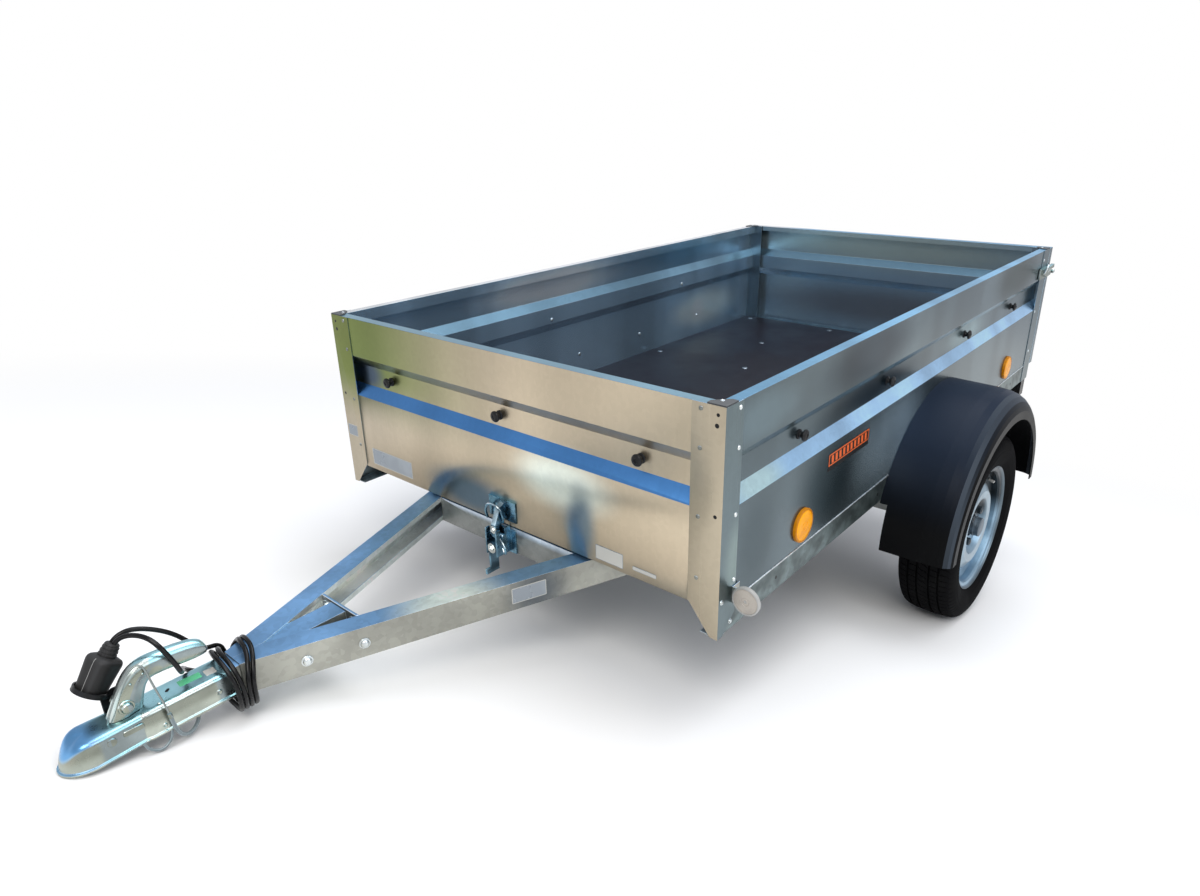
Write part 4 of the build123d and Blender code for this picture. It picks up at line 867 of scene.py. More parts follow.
plug = {
    "nose": (1975.0, -53.0, 525.0), "axis": (-0.6, 0.0, 0.8), "squareness": 0.13, "turn": 0.4,
    "shell": [
        # distance behind the nose, radius
        (4.0, 0.0), (4.0, 19.5), (0.8, 20.6), (0.0, 21.6), (0.2, 22.8), (1.2, 23.5), (2.6, 23.8),
        (5.0, 24.1), (10.0, 24.5), (20.0, 25.3), (34.0, 26.5), (46.0, 27.6), (52.0, 28.0), (56.0, 27.4),
        (59.0, 25.2), (61.0, 21.0), (62.0, 16.0), (62.4, 13.4)],
    "boot": [
        (60.0, 13.4), (62.8, 14.8), (66.0, 14.6), (66.8, 13.2), (68.4, 13.2), (69.2, 14.2), (72.4, 13.9),
        (73.2, 12.5), (74.8, 12.5), (75.6, 13.4), (78.4, 13.0), (79.2, 11.8), (80.4, 11.6), (81.2, 12.0),
        (83.0, 11.4), (84.0, 10.2), (84.0, 0.0)],
    "sides": 72, "lobes": 4, "ribs": 12, "ribDepth": 0.03,
    # beads of the seam: half width, angles of the two along the shell and the rows they span,
    # distance and radius of the one round the rim, and how far that one stands out
    "bead": 0.5, "seams": (2.05, 5.2), "seamRows": (5, 15), "rimSeam": (3.0, 23.9), "rimBead": 0.4,
    "seamLift": 0.1,
}


def splineThrough(name, points, diameter, material):
    curve = bpy.data.curves.new(name, "CURVE")
    curve.dimensions = "3D"
    curve.bevel_depth = diameter / 2000
    curve.bevel_resolution = 4
    curve.resolution_u = 8
    curve.use_fill_caps = True
    spline = curve.splines.new("NURBS")
    spline.points.add(len(points) - 1)
    for point, spot in zip(spline.points, points):
        point.co = (*place(*spot), 1)
    spline.order_u = 3
    spline.use_endpoint_u = True
    curve.materials.append(material)
    piece = bpy.data.objects.new(name, curve)
    bpy.context.collection.objects.link(piece)
    return piece


def coilTurns(table):
    # even steps of angle between the rows of a table of turns
    turns = []
    for (angleA, xA, radiusA), (angleB, xB, radiusB) in zip(table, table[1:]):
        count = max(1, round((angleB - angleA) / lead["stepDegrees"]))
        for i in range(count):
            share = i / count
            ease = eased(share) if count > 2 else share
            angle = math.radians(angleA + share * (angleB - angleA))
            radius = radiusA + ease * (radiusB - radiusA)
            turns.append((
                xA + ease * (xB - xA), radius * math.cos(angle),
                lead["coilHeight"] + radius * math.sin(angle)))
    angle, x, radius = table[-1]
    angle = math.radians(angle)
    turns.append((x, radius * math.cos(angle), lead["coilHeight"] + radius * math.sin(angle)))
    return turns


def pathOf(piece):
    # the points of a cord's own line, in order from its exit
    flat = piece.data.copy()
    flat.bevel_depth = 0
    helper = bpy.data.objects.new("pathHelper", flat)
    mesh = bpy.data.meshes.new_from_object(helper)
    spots = [vertex.co.copy() for vertex in mesh.vertices]
    bpy.data.meshes.remove(mesh)
    bpy.data.objects.remove(helper)
    bpy.data.curves.remove(flat)
    return spots


def lengthOf(spots):
    return sum((b - a).length for a, b in zip(spots, spots[1:]))


def plugSpot(turn, angle, reach, along):
    return Vector(plug["nose"]) + turn @ Vector((
        reach * math.cos(angle), reach * math.sin(angle), along))


def lobed(radius, angle, lobes, depth):
    # a radius that waves in and out round the plug
    wave = math.cos(lobes * (angle - plug["turn"]))
    return radius * (1 - depth * 0.5 - depth * 0.5 * wave)


def beadRing(spot, across, out):
    return [spot + across, spot + out, spot - across, spot - out]


def makePlug():
    # squared shell with a rim and a seam, and a ribbed boot behind it
    turn = Vector(plug["axis"]).to_track_quat("Z", "Y").to_matrix()
    square = (plug["lobes"], plug["squareness"])
    angles = [2 * math.pi * i / plug["sides"] for i in range(plug["sides"])]
    shape = startShape()
    for profile, form in ((plug["shell"], square), (plug["boot"], (plug["ribs"], plug["ribDepth"]))):
        rings = []
        for along, radius in profile:
            ring = [plugSpot(turn, angle, lobed(radius, angle, *form), along) for angle in angles]
            rings.append(ring if radius else ring[:1])
        addRings(shape, rings)
    # the seam's beads run along the shell and round its rim; their pale grey is a painted highlight
    behind = turn @ Vector((0, 0, plug["bead"]))
    for angle in plug["seams"]:
        out = turn @ Vector((math.cos(angle), math.sin(angle), 0)) * plug["bead"]
        across = turn @ Vector((math.sin(angle), -math.cos(angle), 0)) * plug["bead"]
        addRings(shape, [
            beadRing(
                plugSpot(turn, angle, lobed(radius, angle, *square) + plug["seamLift"], along),
                across, out)
            for along, radius in plug["shell"][slice(*plug["seamRows"])]], 1)
    along, radius = plug["rimSeam"]
    addRings(shape, [
        beadRing(
            plugSpot(turn, angle, lobed(radius, angle, *square), along), behind,
            turn @ Vector((math.cos(angle), math.sin(angle), 0)) * plug["rimBead"])
        for angle in angles + [2 * math.pi]], 1, caps=False)
    piece = makePiece(shape, "leadPlug", ["plugPlastic", "greyAndSeamHighlight"], "chassis", sharp=40)
    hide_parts("trailer_plug")
    return piece


def makeLeads():
    leadPlug = makePlug()
    ends = []
    for name, key in (("mainLead", "main"), ("secondLead", "second")):
        isMain = key == "main"
        points = lead[key + "Route"] + coilTurns(lead[key + "Turns"]) + lead[key + "Tail"]
        if isMain:
            points.reverse()  # this one is held at the chassis and ends in the plug
        piece = splineThrough(name, points, lead["diameter"], materials["cableSheath"])
        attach(piece, "chassis")
        lengthOf(pathOf(piece))
        if isMain:
            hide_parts("lead_upper", "lead_coil", "lead_tail")
        else:
            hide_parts("lead_lower")
        spots = pathOf(piece)
        ends.append(spots if isMain else spots[::-1])
    rope = splineThrough("breakawayLoop", wire["route"], wire["diameter"], materials["wireSteel"])
    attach(rope, "chassis")
    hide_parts("breakaway_wire")
    spots = pathOf(rope)
    return {"wire": spots, "ends": ends}


def addSweep(shape, spots, radii, sides=16, mark=0):
    # a round piece that follows a line of spots
    rings = []
    lastOut = Vector((0.1, 1, 0.2))
    for i, spot in enumerate(spots):
        ahead = (spots[min(i + 1, len(spots) - 1)] - spots[max(i - 1, 0)]).normalized()
        out = (lastOut - ahead * lastOut.dot(ahead)).normalized()
        lastOut = out
        across = ahead.cross(out)
        rings.append([
            spot + radii[i] * (math.cos(a) * out + math.sin(a) * across)
            for a in (2 * math.pi * k / sides for k in range(sides))])
    addRings(shape, rings, mark)


def dressCords(paths):
    # clear grey sleeve on the wire's lower loop, with a swaged ferrule at each end
    toLevel = levelToParked.inverted()
    spots = [toLevel @ spot * 1000 for spot in paths["wire"]]
    first, last = (round(wire[k] * (len(spots) - 1)) for k in ("sleeveFrom", "sleeveTo"))
    run = spots[first:last + 1]
    radius = wire["sleeveDiameter"] / 2
    radii = [radius] * len(run)
    shape = startShape()
    addSweep(shape, run, radii)
    for ends in (run[:5], run[-5:]):
        addSweep(shape, ends, [radius * k for k in wire["ferrule"]], mark=1)
    bail = smoothLine(wire["bail"], 40)
    addSweep(shape, bail, [wire["bailDiameter"] / 2] * len(bail))
    makePiece(shape, "wireSleeve", ["greySleeve", "zincPlate"], "chassis", sharp=60)
    # ribbed bend relief on each strand where it leaves the gland
    shape = startShape()
    for spots in paths["ends"]:
        run = [toLevel @ spot * 1000 for spot in spots]
        length = 0.0
        kept = []
        radii = []
        for i, spot in enumerate(run):
            length += (spot - run[i - 1]).length if i else 0.0
            if length > lead["reliefLength"]:
                break
            share = length / lead["reliefLength"]
            kept.append(spot)
            rib = lead["reliefRib"] if i % 2 else 0.0
            radii.append(lead["reliefRadius"] - lead["reliefTaper"] * share + rib)
        addSweep(shape, kept, radii)
    makePiece(shape, "leadRelief", ["blackPlasticAndHoleShade"], "chassis", sharp=60)


dressCords(makeLeads())
print("leads and breakaway wire laid")

softenEdges()
print("edges softened")

handle = {
    "upper": [(1806, 547), (1812, 559), (1824, 566.5), (1840, 571), (1860, 574), (1885, 576.5),
              (1905, 576.5), (1921, 572), (1934, 563), (1945, 550), (1956, 531), (1966, 511),
              (1975, 495.2)],
    "lower": [(1806, 541), (1812, 534.5), (1828, 533), (1848, 534.5), (1870, 537), (1888, 538),
              (1900, 536.5), (1908, 530.5), (1913, 521), (1916, 513), (1918.5, 505), (1920, 500),
              (1921, 495.2)],
    "stations": 44, "around": 32,
    # half widths, how fast the lever widens, and its narrowed, closed tip
    "gripWidth": 13.0, "baseWidth": 17.0, "widening": 1.4, "tipWidth": 0.55, "tipRise": 7,
    "tipLength": 0.8,
    # power of the section's curve: round at the grip, squarer from a share of the length on
    "roundPower": 2.3, "squareGain": 2.2, "squareFrom": 0.45,
    # the pressed cheek: where it starts along the lever and below the rounded edge, its depth
    "pressFrom": 0.42, "pressRun": 0.12, "pressTop": 0.05, "pressFall": 0.35, "pressDepth": 0.24,
}


def makeHandle():
    # release handle: a pressed lever whose grip is rounded like a tube
    upper = smoothLine([(x, 0, z) for x, z in handle["upper"]], handle["stations"])
    lower = smoothLine([(x, 0, z) for x, z in handle["lower"]], handle["stations"])
    rings = []
    widened = handle["baseWidth"] - handle["gripWidth"]
    for i, (top, foot) in enumerate(zip(upper, lower)):
        share = i / (handle["stations"] - 1)
        width = handle["gripWidth"] + widened * min(1, share * handle["widening"])
        width *= min(1, handle["tipWidth"] + handle["tipRise"] * share)
        middle = (top + foot) / 2
        half = (top - foot) / 2
        power = handle["roundPower"] + handle["squareGain"] * max(0, share - handle["squareFrom"])
        pressed = min(1, max(0, (share - handle["pressFrom"]) / handle["pressRun"]))
        ring = []
        for k in range(handle["around"]):
            angle = 2 * math.pi * k / handle["around"]
            c, s = math.cos(angle), math.sin(angle)
            across = math.copysign(abs(c) ** (2 / power), c)
            rise = math.copysign(abs(s) ** (2 / power), s)
            # the outer edge stays round like a tube, the cheek below it is pressed in
            press = min(1, max(0, (handle["pressTop"] - rise) / handle["pressFall"]))
            across *= 1 - handle["pressDepth"] * eased(press) * pressed
            ring.append(middle + half * rise + Vector((0, width * across, 0)))
        rings.append(ring)
    tip = [sum(rings[0], Vector()) / len(rings[0]) - Vector((handle["tipLength"], 0, 0))]
    shape = startShape()
    addRings(shape, [tip] + rings)
    piece = makePiece(shape, "couplingHandle", ["zincPlate"], "chassis", sharp=60)
    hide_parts("coupling_handle")


couplingTrim = {
    "top": 495.0, "rearSide": 33.0, "frontSide": 33.4,
    "pivot": (1948.0, 17.0, 513.0),
    "pivotHead": [(0, 12.5), (3.0, 12.5), (4.0, 11.8), (4.0, 9.5), (7.0, 9.0), (9.0, 7.4), (10.0, 4.4),
                  (10.3, 0)],
    "rivets": [(1934.5, 17.0, 548.5, 2.6), (1913.5, 16.3, 556.5, 2.4)], "rivetHeight": 2.4,
    "dimples": [(1813.0, 466.0, 4.6), (1906.0, 458.0, 3.2)],
    "flangeBolts": [(1907.0, 36.0, 448.7), (1937.0, 36.5, 448.7)], "flangeHead": (2.6, 1.8),
    "bar": (1951.0, 478.0, 32.0, 10.5), "disc": (1984.0, 476.0, 8.0),
    # on the top sheet: x, y, direction across, width, height
    "nub": (1903.0, 22.0), "nubHead": (3.4, 2.6), "rib": (1895.0, 17.0, (0.86, 0.5), 15, 2.2),
    "labels": [(1843.5, -1.0, (0.998, -0.06), 37.0, 17.5), (1811.0, 5.0, (0.998, -0.06), 18.0, 19.0)],
    "longMark": (1880.5, -1.5, (0.8, 0.6), 9.0, 5.0), "wideMark": (1917.0, -21.5, (1, 0), 13.0, 3.6),
}


def addTopPad(shape, spot, sink, thickness, **rounding):
    # a pad that lies on the coupling's top sheet
    x, y, (alongX, alongY), width, height = spot
    addPad(shape, (x, y, couplingTrim["top"] - sink), (alongX, alongY, 0), (-alongY, alongX, 0),
           width, height, thickness, **rounding)


def makeCouplingTrim():
    trim = couplingTrim
    shape = startShape()
    for side in (1, -1):
        x, y, z = trim["pivot"]
        addTurned(shape, (x, side * (y - 2.5), z), (0, side, 0), trim["pivotHead"], 32)
        for x, y, z, radius in trim["rivets"]:
            addDome(shape, (x, side * (y - 1.0), z), (0, side, 0), radius, trim["rivetHeight"])
        for x, z, radius in trim["dimples"]:
            addTurned(shape, (x, side * (trim["rearSide"] - 0.5), z), (0, side, 0), [
                (0, radius + 1.4), (1.2, radius + 0.4), (1.8, radius - 0.8), (1.2, radius * 0.45),
                (1.2, 0)], 20)
        for x, y, z in trim["flangeBolts"]:
            addDome(shape, (x, side * y, z), (0, 0, 1), *trim["flangeHead"])
        x, z, width, height = trim["bar"]
        addPad(shape, (x, side * (trim["frontSide"] - 1.6), z), (-side, 0.02, 0), (0, 0, 1), width,
               height, 2.4, corner=4.0, edge=0.9)
        x, z, radius = trim["disc"]
        addTurned(shape, (x, side * (trim["frontSide"] - 1.0), z), (0.03, side, 0), [
            (0, radius), (2.0, radius - 0.4), (2.5, radius - 1.4), (2.1, radius - 2.6), (2.1, 0)], 32)
    # bright nub and rolled rib on the top sheet
    addDome(shape, (*trim["nub"], trim["top"] - 0.2), (0, 0, 1), *trim["nubHead"])
    addTopPad(shape, trim["rib"], 0.2, 0.9, corner=1.0, edge=0.4)
    makePiece(shape, "couplingStampings", ["zincPlate"], "chassis")

    shape = startShape()
    for mark, spot in enumerate(trim["labels"]):
        addTopPad(shape, spot, 0, 0.35, mark=mark)
    makePiece(shape, "couplingLabels", ["labelGreen", "labelFilm"], "chassis")

    shape = startShape()
    addTopPad(shape, trim["longMark"], 0.3, 1.0, corner=2.2)
    addTopPad(shape, trim["wideMark"], 0.3, 0.9, corner=1.6)
    makePiece(shape, "couplingMarks", ["blackPlasticAndHoleShade"], "chassis")


makeHandle()
makeCouplingTrim()
print("coupling dressed")

couplingForm = {
    "ball": 2010.0, "front": 44.0, "side": 35.0, "top": 495.0, "foot": 449.0,
    "low": 445.0, "lip": 4.0, "skin": 3.5,
    # distance along, half width, top height
    "stations": [
        (1785, 32.6, 494.6), (1786.5, 33.0, 495), (1820, 33.0, 495), (1870, 33.0, 495),
        (1915, 33.0, 495), (1928.5, 33.0, 495), (1930, 32.4, 494.6), (1931.5, 31.4, 494),
        (1936, 31.4, 494), (1955, 32.4, 494.4), (1975, 33.6, 494.6), (1995, 34.6, 494.8),
        (2010, 35.0, 495)],
    "squareSide": 6.5, "squareFront": 1.9, "turns": 26, "steps": 16,
    "socket": (2019.0, 25.7),
}


def couplingColumn(x, y, dirX, dirY, width, top, power):
    # from the ridge out over the side, round the lip and back up inside the skin
    form = couplingForm
    spots = []
    foot = form["foot"]
    for i in range(form["steps"] + 1):
        angle = math.pi / 2 * i / form["steps"]
        out = width * math.sin(angle) ** (2 / power)
        height = foot + (top - foot) * math.cos(angle) ** (2 / power)
        spots.append((out, height if i < form["steps"] else foot + 2))
    lip = width + form["lip"]
    spots += [(width + 0.5, foot + 0.7), (width + 1.6, foot + 0.1), (lip - 0.7, foot), (lip, foot - 0.7),
              (lip, form["low"] + 0.6), (lip - 0.6, form["low"]), (width - form["skin"], form["low"])]
    inner = width - form["skin"]
    for i in range(6):
        angle = math.pi / 2 * i / 5
        spots.append((
            inner * math.cos(angle) ** (2 / power),
            foot + (top - form["skin"] - foot) * math.sin(angle) ** (2 / power)))
    return [Vector((x + dirX * out, y + dirY * out, z)) for out, z in spots]


def makeCoupling():
    # pressed coupling head: flat-topped channel running into a rounded nose with a rolled lip
    form = couplingForm
    left = [
        couplingColumn(x, 0, 0, 1, width, top, form["squareSide"])
        for x, width, top in form["stations"]]
    nose = []
    for i in range(1, form["turns"]):
        angle = math.pi / 2 - math.pi * i / form["turns"]
        c, s = math.cos(angle), math.sin(angle)
        width = 1 / math.sqrt((c / form["front"]) ** 2 + (s / form["side"]) ** 2)
        power = form["squareFront"] + (form["squareSide"] - form["squareFront"]) * abs(s) ** 3
        nose.append(couplingColumn(form["ball"], 0, c, s, width, form["top"], power))
    right = [
        couplingColumn(x, 0, 0, -1, width, top, form["squareSide"])
        for x, width, top in reversed(form["stations"])]
    columns = left + nose + right
    shape = startShape()
    count = len(columns[0])
    for column in columns:
        shape["points"].extend(tuple(spot) for spot in column)
    for a in range(len(columns) - 1):
        for i in range(count - 1):
            b = a * count + i
            shape["faces"].append([b, b + 1, b + count + 1, b + count])
            shape["marks"].append(0)
    # rear rim of the pressing
    for start in (0, (len(columns) - 1) * count):
        for i in range(count // 2):
            j = count - 1 - i
            if j - i > 1:
                shape["faces"].append([start + i, start + i + 1, start + j - 1, start + j])
                shape["marks"].append(0)
    x, radius = form["socket"]
    addTurned(shape, (x, 0, 0), (0, 0, 1), [
        (482, 0), (480, 16), (466, radius + 5), (446, radius + 5.3), (445.2, radius + 4.8),
        (445.2, radius + 0.5), (446, radius), (462, radius), (470, 22), (476, 14), (478, 0)], 40)
    piece = makePiece(shape, "couplingHead", ["zincPlate"], "chassis", sharp=75)
    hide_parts("coupling_body")


makeCoupling()

knobs = {
    "recess": 20.0,
    "profile": [
        (-0.5, 11.0), (1.8, 11.0), (3.0, 9.8), (4.0, 7.4), (6.0, 6.4), (9.0, 6.4), (10.4, 7.4),
        (11.4, 11.4), (12.2, 12.6), (13.8, 13.0), (15.6, 12.7), (17.4, 11.2), (18.4, 8.6), (18.8, 5.0),
        (17.3, 4.4), (17.1, 0.0)],
    "front": [(1118.0, -400.0), (1118.0, 0.0), (1118.0, 400.0)], "side": [800.0, 350.0, -210.0, -660.0],
    "z": 761.0, "wall": 598.0,
}


def makeKnobs():
    shape = startShape()
    z = knobs["z"]
    spots = [((x - knobs["recess"], y, z), (1, 0, 0)) for x, y in knobs["front"]]
    sunk = knobs["wall"] - knobs["recess"]
    for side in (1, -1):
        spots += [((x, side * sunk, z), (0, side, 0)) for x in knobs["side"]]
    for spot, axis in spots:
        addTurned(shape, spot, axis, knobs["profile"], 28)
    piece = makePiece(shape, "ropeKnobs", ["blackPlasticAndHoleShade"], "bed", sharp=40)
    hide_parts("rope_knobs")


reflectors = {
    "amber": [(795.0, 556.0), (-655.0, 556.0)], "wall": 598.0,
    "amberRim": [(-0.5, 38.6), (5.6, 39.0), (7.0, 38.4), (7.8, 37.0), (7.8, 35.6), (6.6, 35.0)],
    "amberLens": [(4.0, 35.2), (7.0, 34.8), (8.0, 33.0), (8.4, 27.0), (8.8, 18.0), (9.0, 10.6), (8.1, 10.2),
                  (8.1, 8.8), (9.0, 8.4), (9.0, 3.0), (8.4, 2.6), (8.4, 0.0)],
    "white": (1075.0, 634.0, 522.0),
    "whiteRim": [(-1.0, 29.4), (4.0, 30.0), (5.6, 29.8), (6.6, 28.8), (7.0, 27.6), (7.0, 26.6),
                 (6.0, 26.0)],
    "whiteLens": [(3.0, 26.2), (6.0, 26.0), (6.8, 25.0), (7.0, 20.0), (7.0, 9.0), (6.4, 8.6), (6.4, 7.6),
                  (7.0, 7.2), (7.0, 3.6), (5.6, 3.2), (5.6, 0.0)],
}


def makeReflectors():
    shape = startShape()
    for side in (1, -1):
        for x, z in reflectors["amber"]:
            origin = (x, side * reflectors["wall"], z)
            addTurned(shape, origin, (0, side, 0), reflectors["amberRim"], 56, mark=1)
            addTurned(shape, origin, (0, side, 0), reflectors["amberLens"], 56, mark=0)
    piece = makePiece(shape, "amberReflectorLenses", ["amberLens", "amberRim"], "bed")
    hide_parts("amber_reflectors")
    shape = startShape()
    x, y, z = reflectors["white"]
    for side in (1, -1):
        addTurned(shape, (x, side * y, z), (1, 0, 0), reflectors["whiteRim"], 56, mark=1)
        addTurned(shape, (x, side * y, z), (1, 0, 0), reflectors["whiteLens"], 56, mark=0)
    piece = makePiece(shape, "frontReflectorLenses", ["whiteLens", "greyAndSeamHighlight"], "bed")
    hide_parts("front_reflectors")


bedFastenings = {
    # outer faces of the posts and rails, inner face of the front wall, top of the floor
    "frontFace": 1120.0, "sideFace": 600.0, "railFace": 598.0, "endFace": 1116.0, "floorTop": 513.0,
    # rivets on the post's front face (y, z) and its side face (x, z)
    "postFront": [(548.0, 902.0), (548.0, 827.0), (548.0, 691.0), (548.0, 561.0)],
    "postSide": [(1073.0, 901.0), (1073.0, 825.0), (1073.0, 692.0), (1069.0, 553.0)],
    "postBolts": [(1110.0, 521.0), (1077.0, 463.0)],
    "postHoles": [(583.8, 896.5, 3.0), (582.3, 876.2, 4.0), (585.0, 701.0, 3.4)],
    "rearPost": [(-908.0, 880.0), (-908.0, 700.0), (-920.0, 555.0)],
    "rail": [(894.5, 473.0), (376.0, 469.0), (-420.0, 470.0), (-760.0, 470.0)],
    # rivets inside the walls: along, height, distance of the sheet from the middle
    "inside": [(327.0, 747.0, 576.5), (-420.0, 747.0, 576.5), (800.0, 747.0, 576.5),
               (-173.0, 592.0, 596.5), (174.0, 591.0, 596.5), (640.0, 592.0, 596.5),
               (-560.0, 592.0, 596.5)],
    "insideEnd": [(-330.0, 600.0), (0.0, 600.0), (330.0, 600.0)],
    "floor": [(1040.0, 555.0), (640.0, 172.0), (640.0, 555.0), (200.0, 172.0), (200.0, 555.0),
              (-250.0, 172.0), (-250.0, 555.0), (-590.0, 300.0), (-930.0, 172.0), (-930.0, 555.0)],
    "caps": [(1098.0, 578.0, 916.0), (-948.0, 578.0, 916.0)],
    # thin bright bead under the side wall: a painted highlight along the fold where the wall meets the rail
    "seam": [(x, 598.2, 503.2) for x in (-893.0, -400.0, 0.0, 500.0, 1058.0)], "seamRadius": 1.7,
    # rivet heads: radius and height
    "frontRivet": (4.6, 2.0), "sideRivet": (4.8, 2.4), "insideRivet": (6.6, 3.0),
    "boltHead": [(0, 5.2), (0.8, 5.0), (0.8, 3.6), (2.6, 3.4), (2.8, 0)],
    "railHole": [(0, 4.2), (0.3, 3.8), (0.25, 2.4), (0.25, 0)],
    "capHead": [(-0.2, 4.4), (0.9, 4.0), (1.2, 2.6), (0.6, 2.2), (0.6, 0)],
    "floorHead": [(-0.2, 10.0), (0.6, 9.4), (1.7, 6.6), (2.2, 3.2), (2.3, 0)],
}


def makeBedFastenings():
    parts = bedFastenings
    rivets = startShape()
    holes = startShape()
    for side in (1, -1):
        for y, z in parts["postFront"]:
            addDome(rivets, (parts["frontFace"], side * y, z), (1, 0, 0), *parts["frontRivet"], mark=1)
        for x, z in parts["postSide"] + parts["rearPost"]:
            addDome(rivets, (x, side * parts["sideFace"], z), (0, side, 0), *parts["sideRivet"])
        for x, z in parts["postBolts"]:
            addTurned(rivets, (x, side * parts["sideFace"], z), (0, side, 0), parts["boltHead"], 20)
        for x, z, y in parts["inside"]:
            addDome(rivets, (x, side * y, z), (0, -side, 0), *parts["insideRivet"])
        # black discs stand for holes in the posts and rails: painted shade of the openings
        for y, z, radius in parts["postHoles"]:
            addTurned(holes, (parts["frontFace"], side * y, z), (1, 0, 0), [
                (0, radius + 0.5), (0.25, radius), (0.2, radius * 0.6), (0.2, 0)], 20)
        for x, z in parts["rail"]:
            addTurned(holes, (x, side * parts["railFace"], z), (0, side, 0), parts["railHole"], 20)
        for x, y, z in parts["caps"]:
            addTurned(rivets, (x, side * y, z), (0, 0, 1), parts["capHead"], 20)
        for x, y in parts["floor"]:
            addTurned(rivets, (x, side * y, parts["floorTop"]), (0, 0, 1), parts["floorHead"], 24, mark=1)
        # painted highlight along the fold under the side wall
        seam = [Vector((x, side * y, z)) for x, y, z in parts["seam"]]
        addSweep(rivets, seam, [parts["seamRadius"]] * len(seam), 10)
    for y, z in parts["insideEnd"]:
        addDome(rivets, (parts["endFace"], y, z), (-1, 0, 0), *parts["insideRivet"])
    makePiece(rivets, "bedRivets", ["brightZinc", "dullZinc"], "bed")
    makePiece(holes, "bedHoleShade", ["blackPlasticAndHoleShade"], "bed")


webNormal = (0.3521, 0.9360)  # the way the left drawbar's web faces
labels = {
    "base": 0.35, "panel": 0.2,  # thicknesses
    # x, y, z, width, height
    "frontLeft": (1118.0, -412.0, 541.0, 170.0, 46.0), "frontRight": (1118.0, 331.0, 528.0, 74.0, 34.0),
    "strip": (1118.0, 423.0, 524.0, 60.0, 9.0), "post": (1120.0, -574.0, 597.0, 42.0, 32.0),
    "side": (584.0, 598.0, 662.0, 212.0, 42.0), "drawbar": (1249.3, 223.4, 465.0, 78.0, 36.0),
    # fields of the side plate: lift, narrower by, lower by, mark; they sit above its middle
    "sideFields": [(0.3, 6, 14, 1), (0.45, 12, 20, 0)], "sideRise": 5,
    "bars": 10, "barPitch": 19.0, "barWidth": 10.0, "barLower": 24, "barLean": 0.12, "barLift": 0.6,
}


def addLabel(shape, origin, across, width, height, marks, border):
    # a blank printed plate: border below, plain panel on top
    up = Vector((0, 0, 1))
    out = Vector(across).normalized().cross(up)
    addPad(shape, origin, across, up, width, height, labels["base"], corner=2.0, edge=0.12, mark=marks[0])
    addPad(shape, Vector(origin) + out * 0.3, across, up, width - 2 * border, height - 2 * border,
           labels["panel"], corner=1.2, edge=0.08, mark=marks[1])


def makeLabels():
    shape = startShape()
    for key, marks, border in (
            ("frontLeft", (1, 0), 2.2), ("frontRight", (0, 1), 1.4), ("strip", (0, 1), 1.0),
            ("post", (1, 0), 1.6)):
        x, y, z, width, height = labels[key]
        addLabel(shape, (x, y, z), (0, 1, 0), width, height, marks, border)
    makePiece(shape, "wallPlates", ["labelSilver", "labelFilm"], "bed")
    shape = startShape()
    x, y, z, width, height = labels["side"]
    addPad(shape, (x, y, z), (-1, 0, 0), (0, 0, 1), width, height, labels["base"], corner=1.5, edge=0.12)
    z += labels["sideRise"]
    for lift, narrower, lower, mark in labels["sideFields"]:
        addPad(shape, (x, y + lift, z), (-1, 0, 0), (0, 0, 1), width - narrower, height - lower,
               labels["panel"], corner=1.0, edge=0.08, mark=mark)
    for step in range(labels["bars"]):
        bar = x + (step - (labels["bars"] - 1) / 2) * labels["barPitch"]
        addPad(shape, (bar, y + labels["barLift"], z), (-1, 0, 0), (labels["barLean"], 0, 1),
               labels["barWidth"], height - labels["barLower"], labels["panel"], corner=1.0, edge=0.08,
               mark=1)
    makePiece(shape, "sidePlate", ["labelBlack", "labelOrange"], "bed")
    shape = startShape()
    x, y, z, width, height = labels["drawbar"]
    nx, ny = webNormal
    addLabel(shape, (x + nx * 0.05, y + ny * 0.05, z), (-ny, nx, 0), width, height, (1, 0), 1.6)
    makePiece(shape, "drawbarPlate", ["labelSilver", "labelFilm"], "chassis")


drawbarBolts = {
    "web": [(1665.7, 66.7, 461.6), (1567.6, 103.6, 461.9)], "webThickness": 3.2,
    "webHead": [(-0.4, 11.0), (1.8, 10.8), (2.3, 10.2), (2.4, 8.6), (3.6, 8.4), (5.6, 7.2), (7.2, 4.8),
                (7.8, 0)],
    "brace": [(1552.0, 45.0, 476.0), (1552.0, 45.0, 450.0)],
}


def makeDrawbarBolts():
    shape = startShape()
    nx, ny = webNormal
    inward = drawbarBolts["webThickness"]
    for side in (1, -1):
        for x, y, z in drawbarBolts["web"]:
            addTurned(shape, (x, side * y, z), (nx, side * ny, 0), drawbarBolts["webHead"], 28)
            addHexBolt(shape, (x - nx * inward, side * (y - ny * inward), z), (-nx, -side * ny, 0), 15.0)
        for x, y, z in drawbarBolts["brace"]:
            addHexBolt(shape, (x, side * y, z), (1, 0, 0), 13.0)
    makePiece(shape, "drawbarBolts", ["brightZinc"], "chassis")


latchDetail = {
    "hoop": [(1131.0, -30.0, 510.0), (1135.0, -31.0, 530.0), (1139.0, -20.0, 548.0),
             (1141.0, -3.0, 556.0), (1140.0, 14.0, 553.0), (1137.0, 24.0, 542.0),
             (1134.0, 26.0, 526.0), (1131.0, 22.0, 512.0)],
    "ring": [(1158.0, 40.0, 486.0), (1162.0, 52.0, 480.0), (1163.0, 60.0, 468.0),
             (1160.0, 58.0, 456.0), (1156.0, 48.0, 452.0), (1153.0, 40.0, 460.0)],
    "hoopBolt": (1154.0, 14.0, 500.0), "ringBolt": (1163.0, 14.0, 456.0),
}


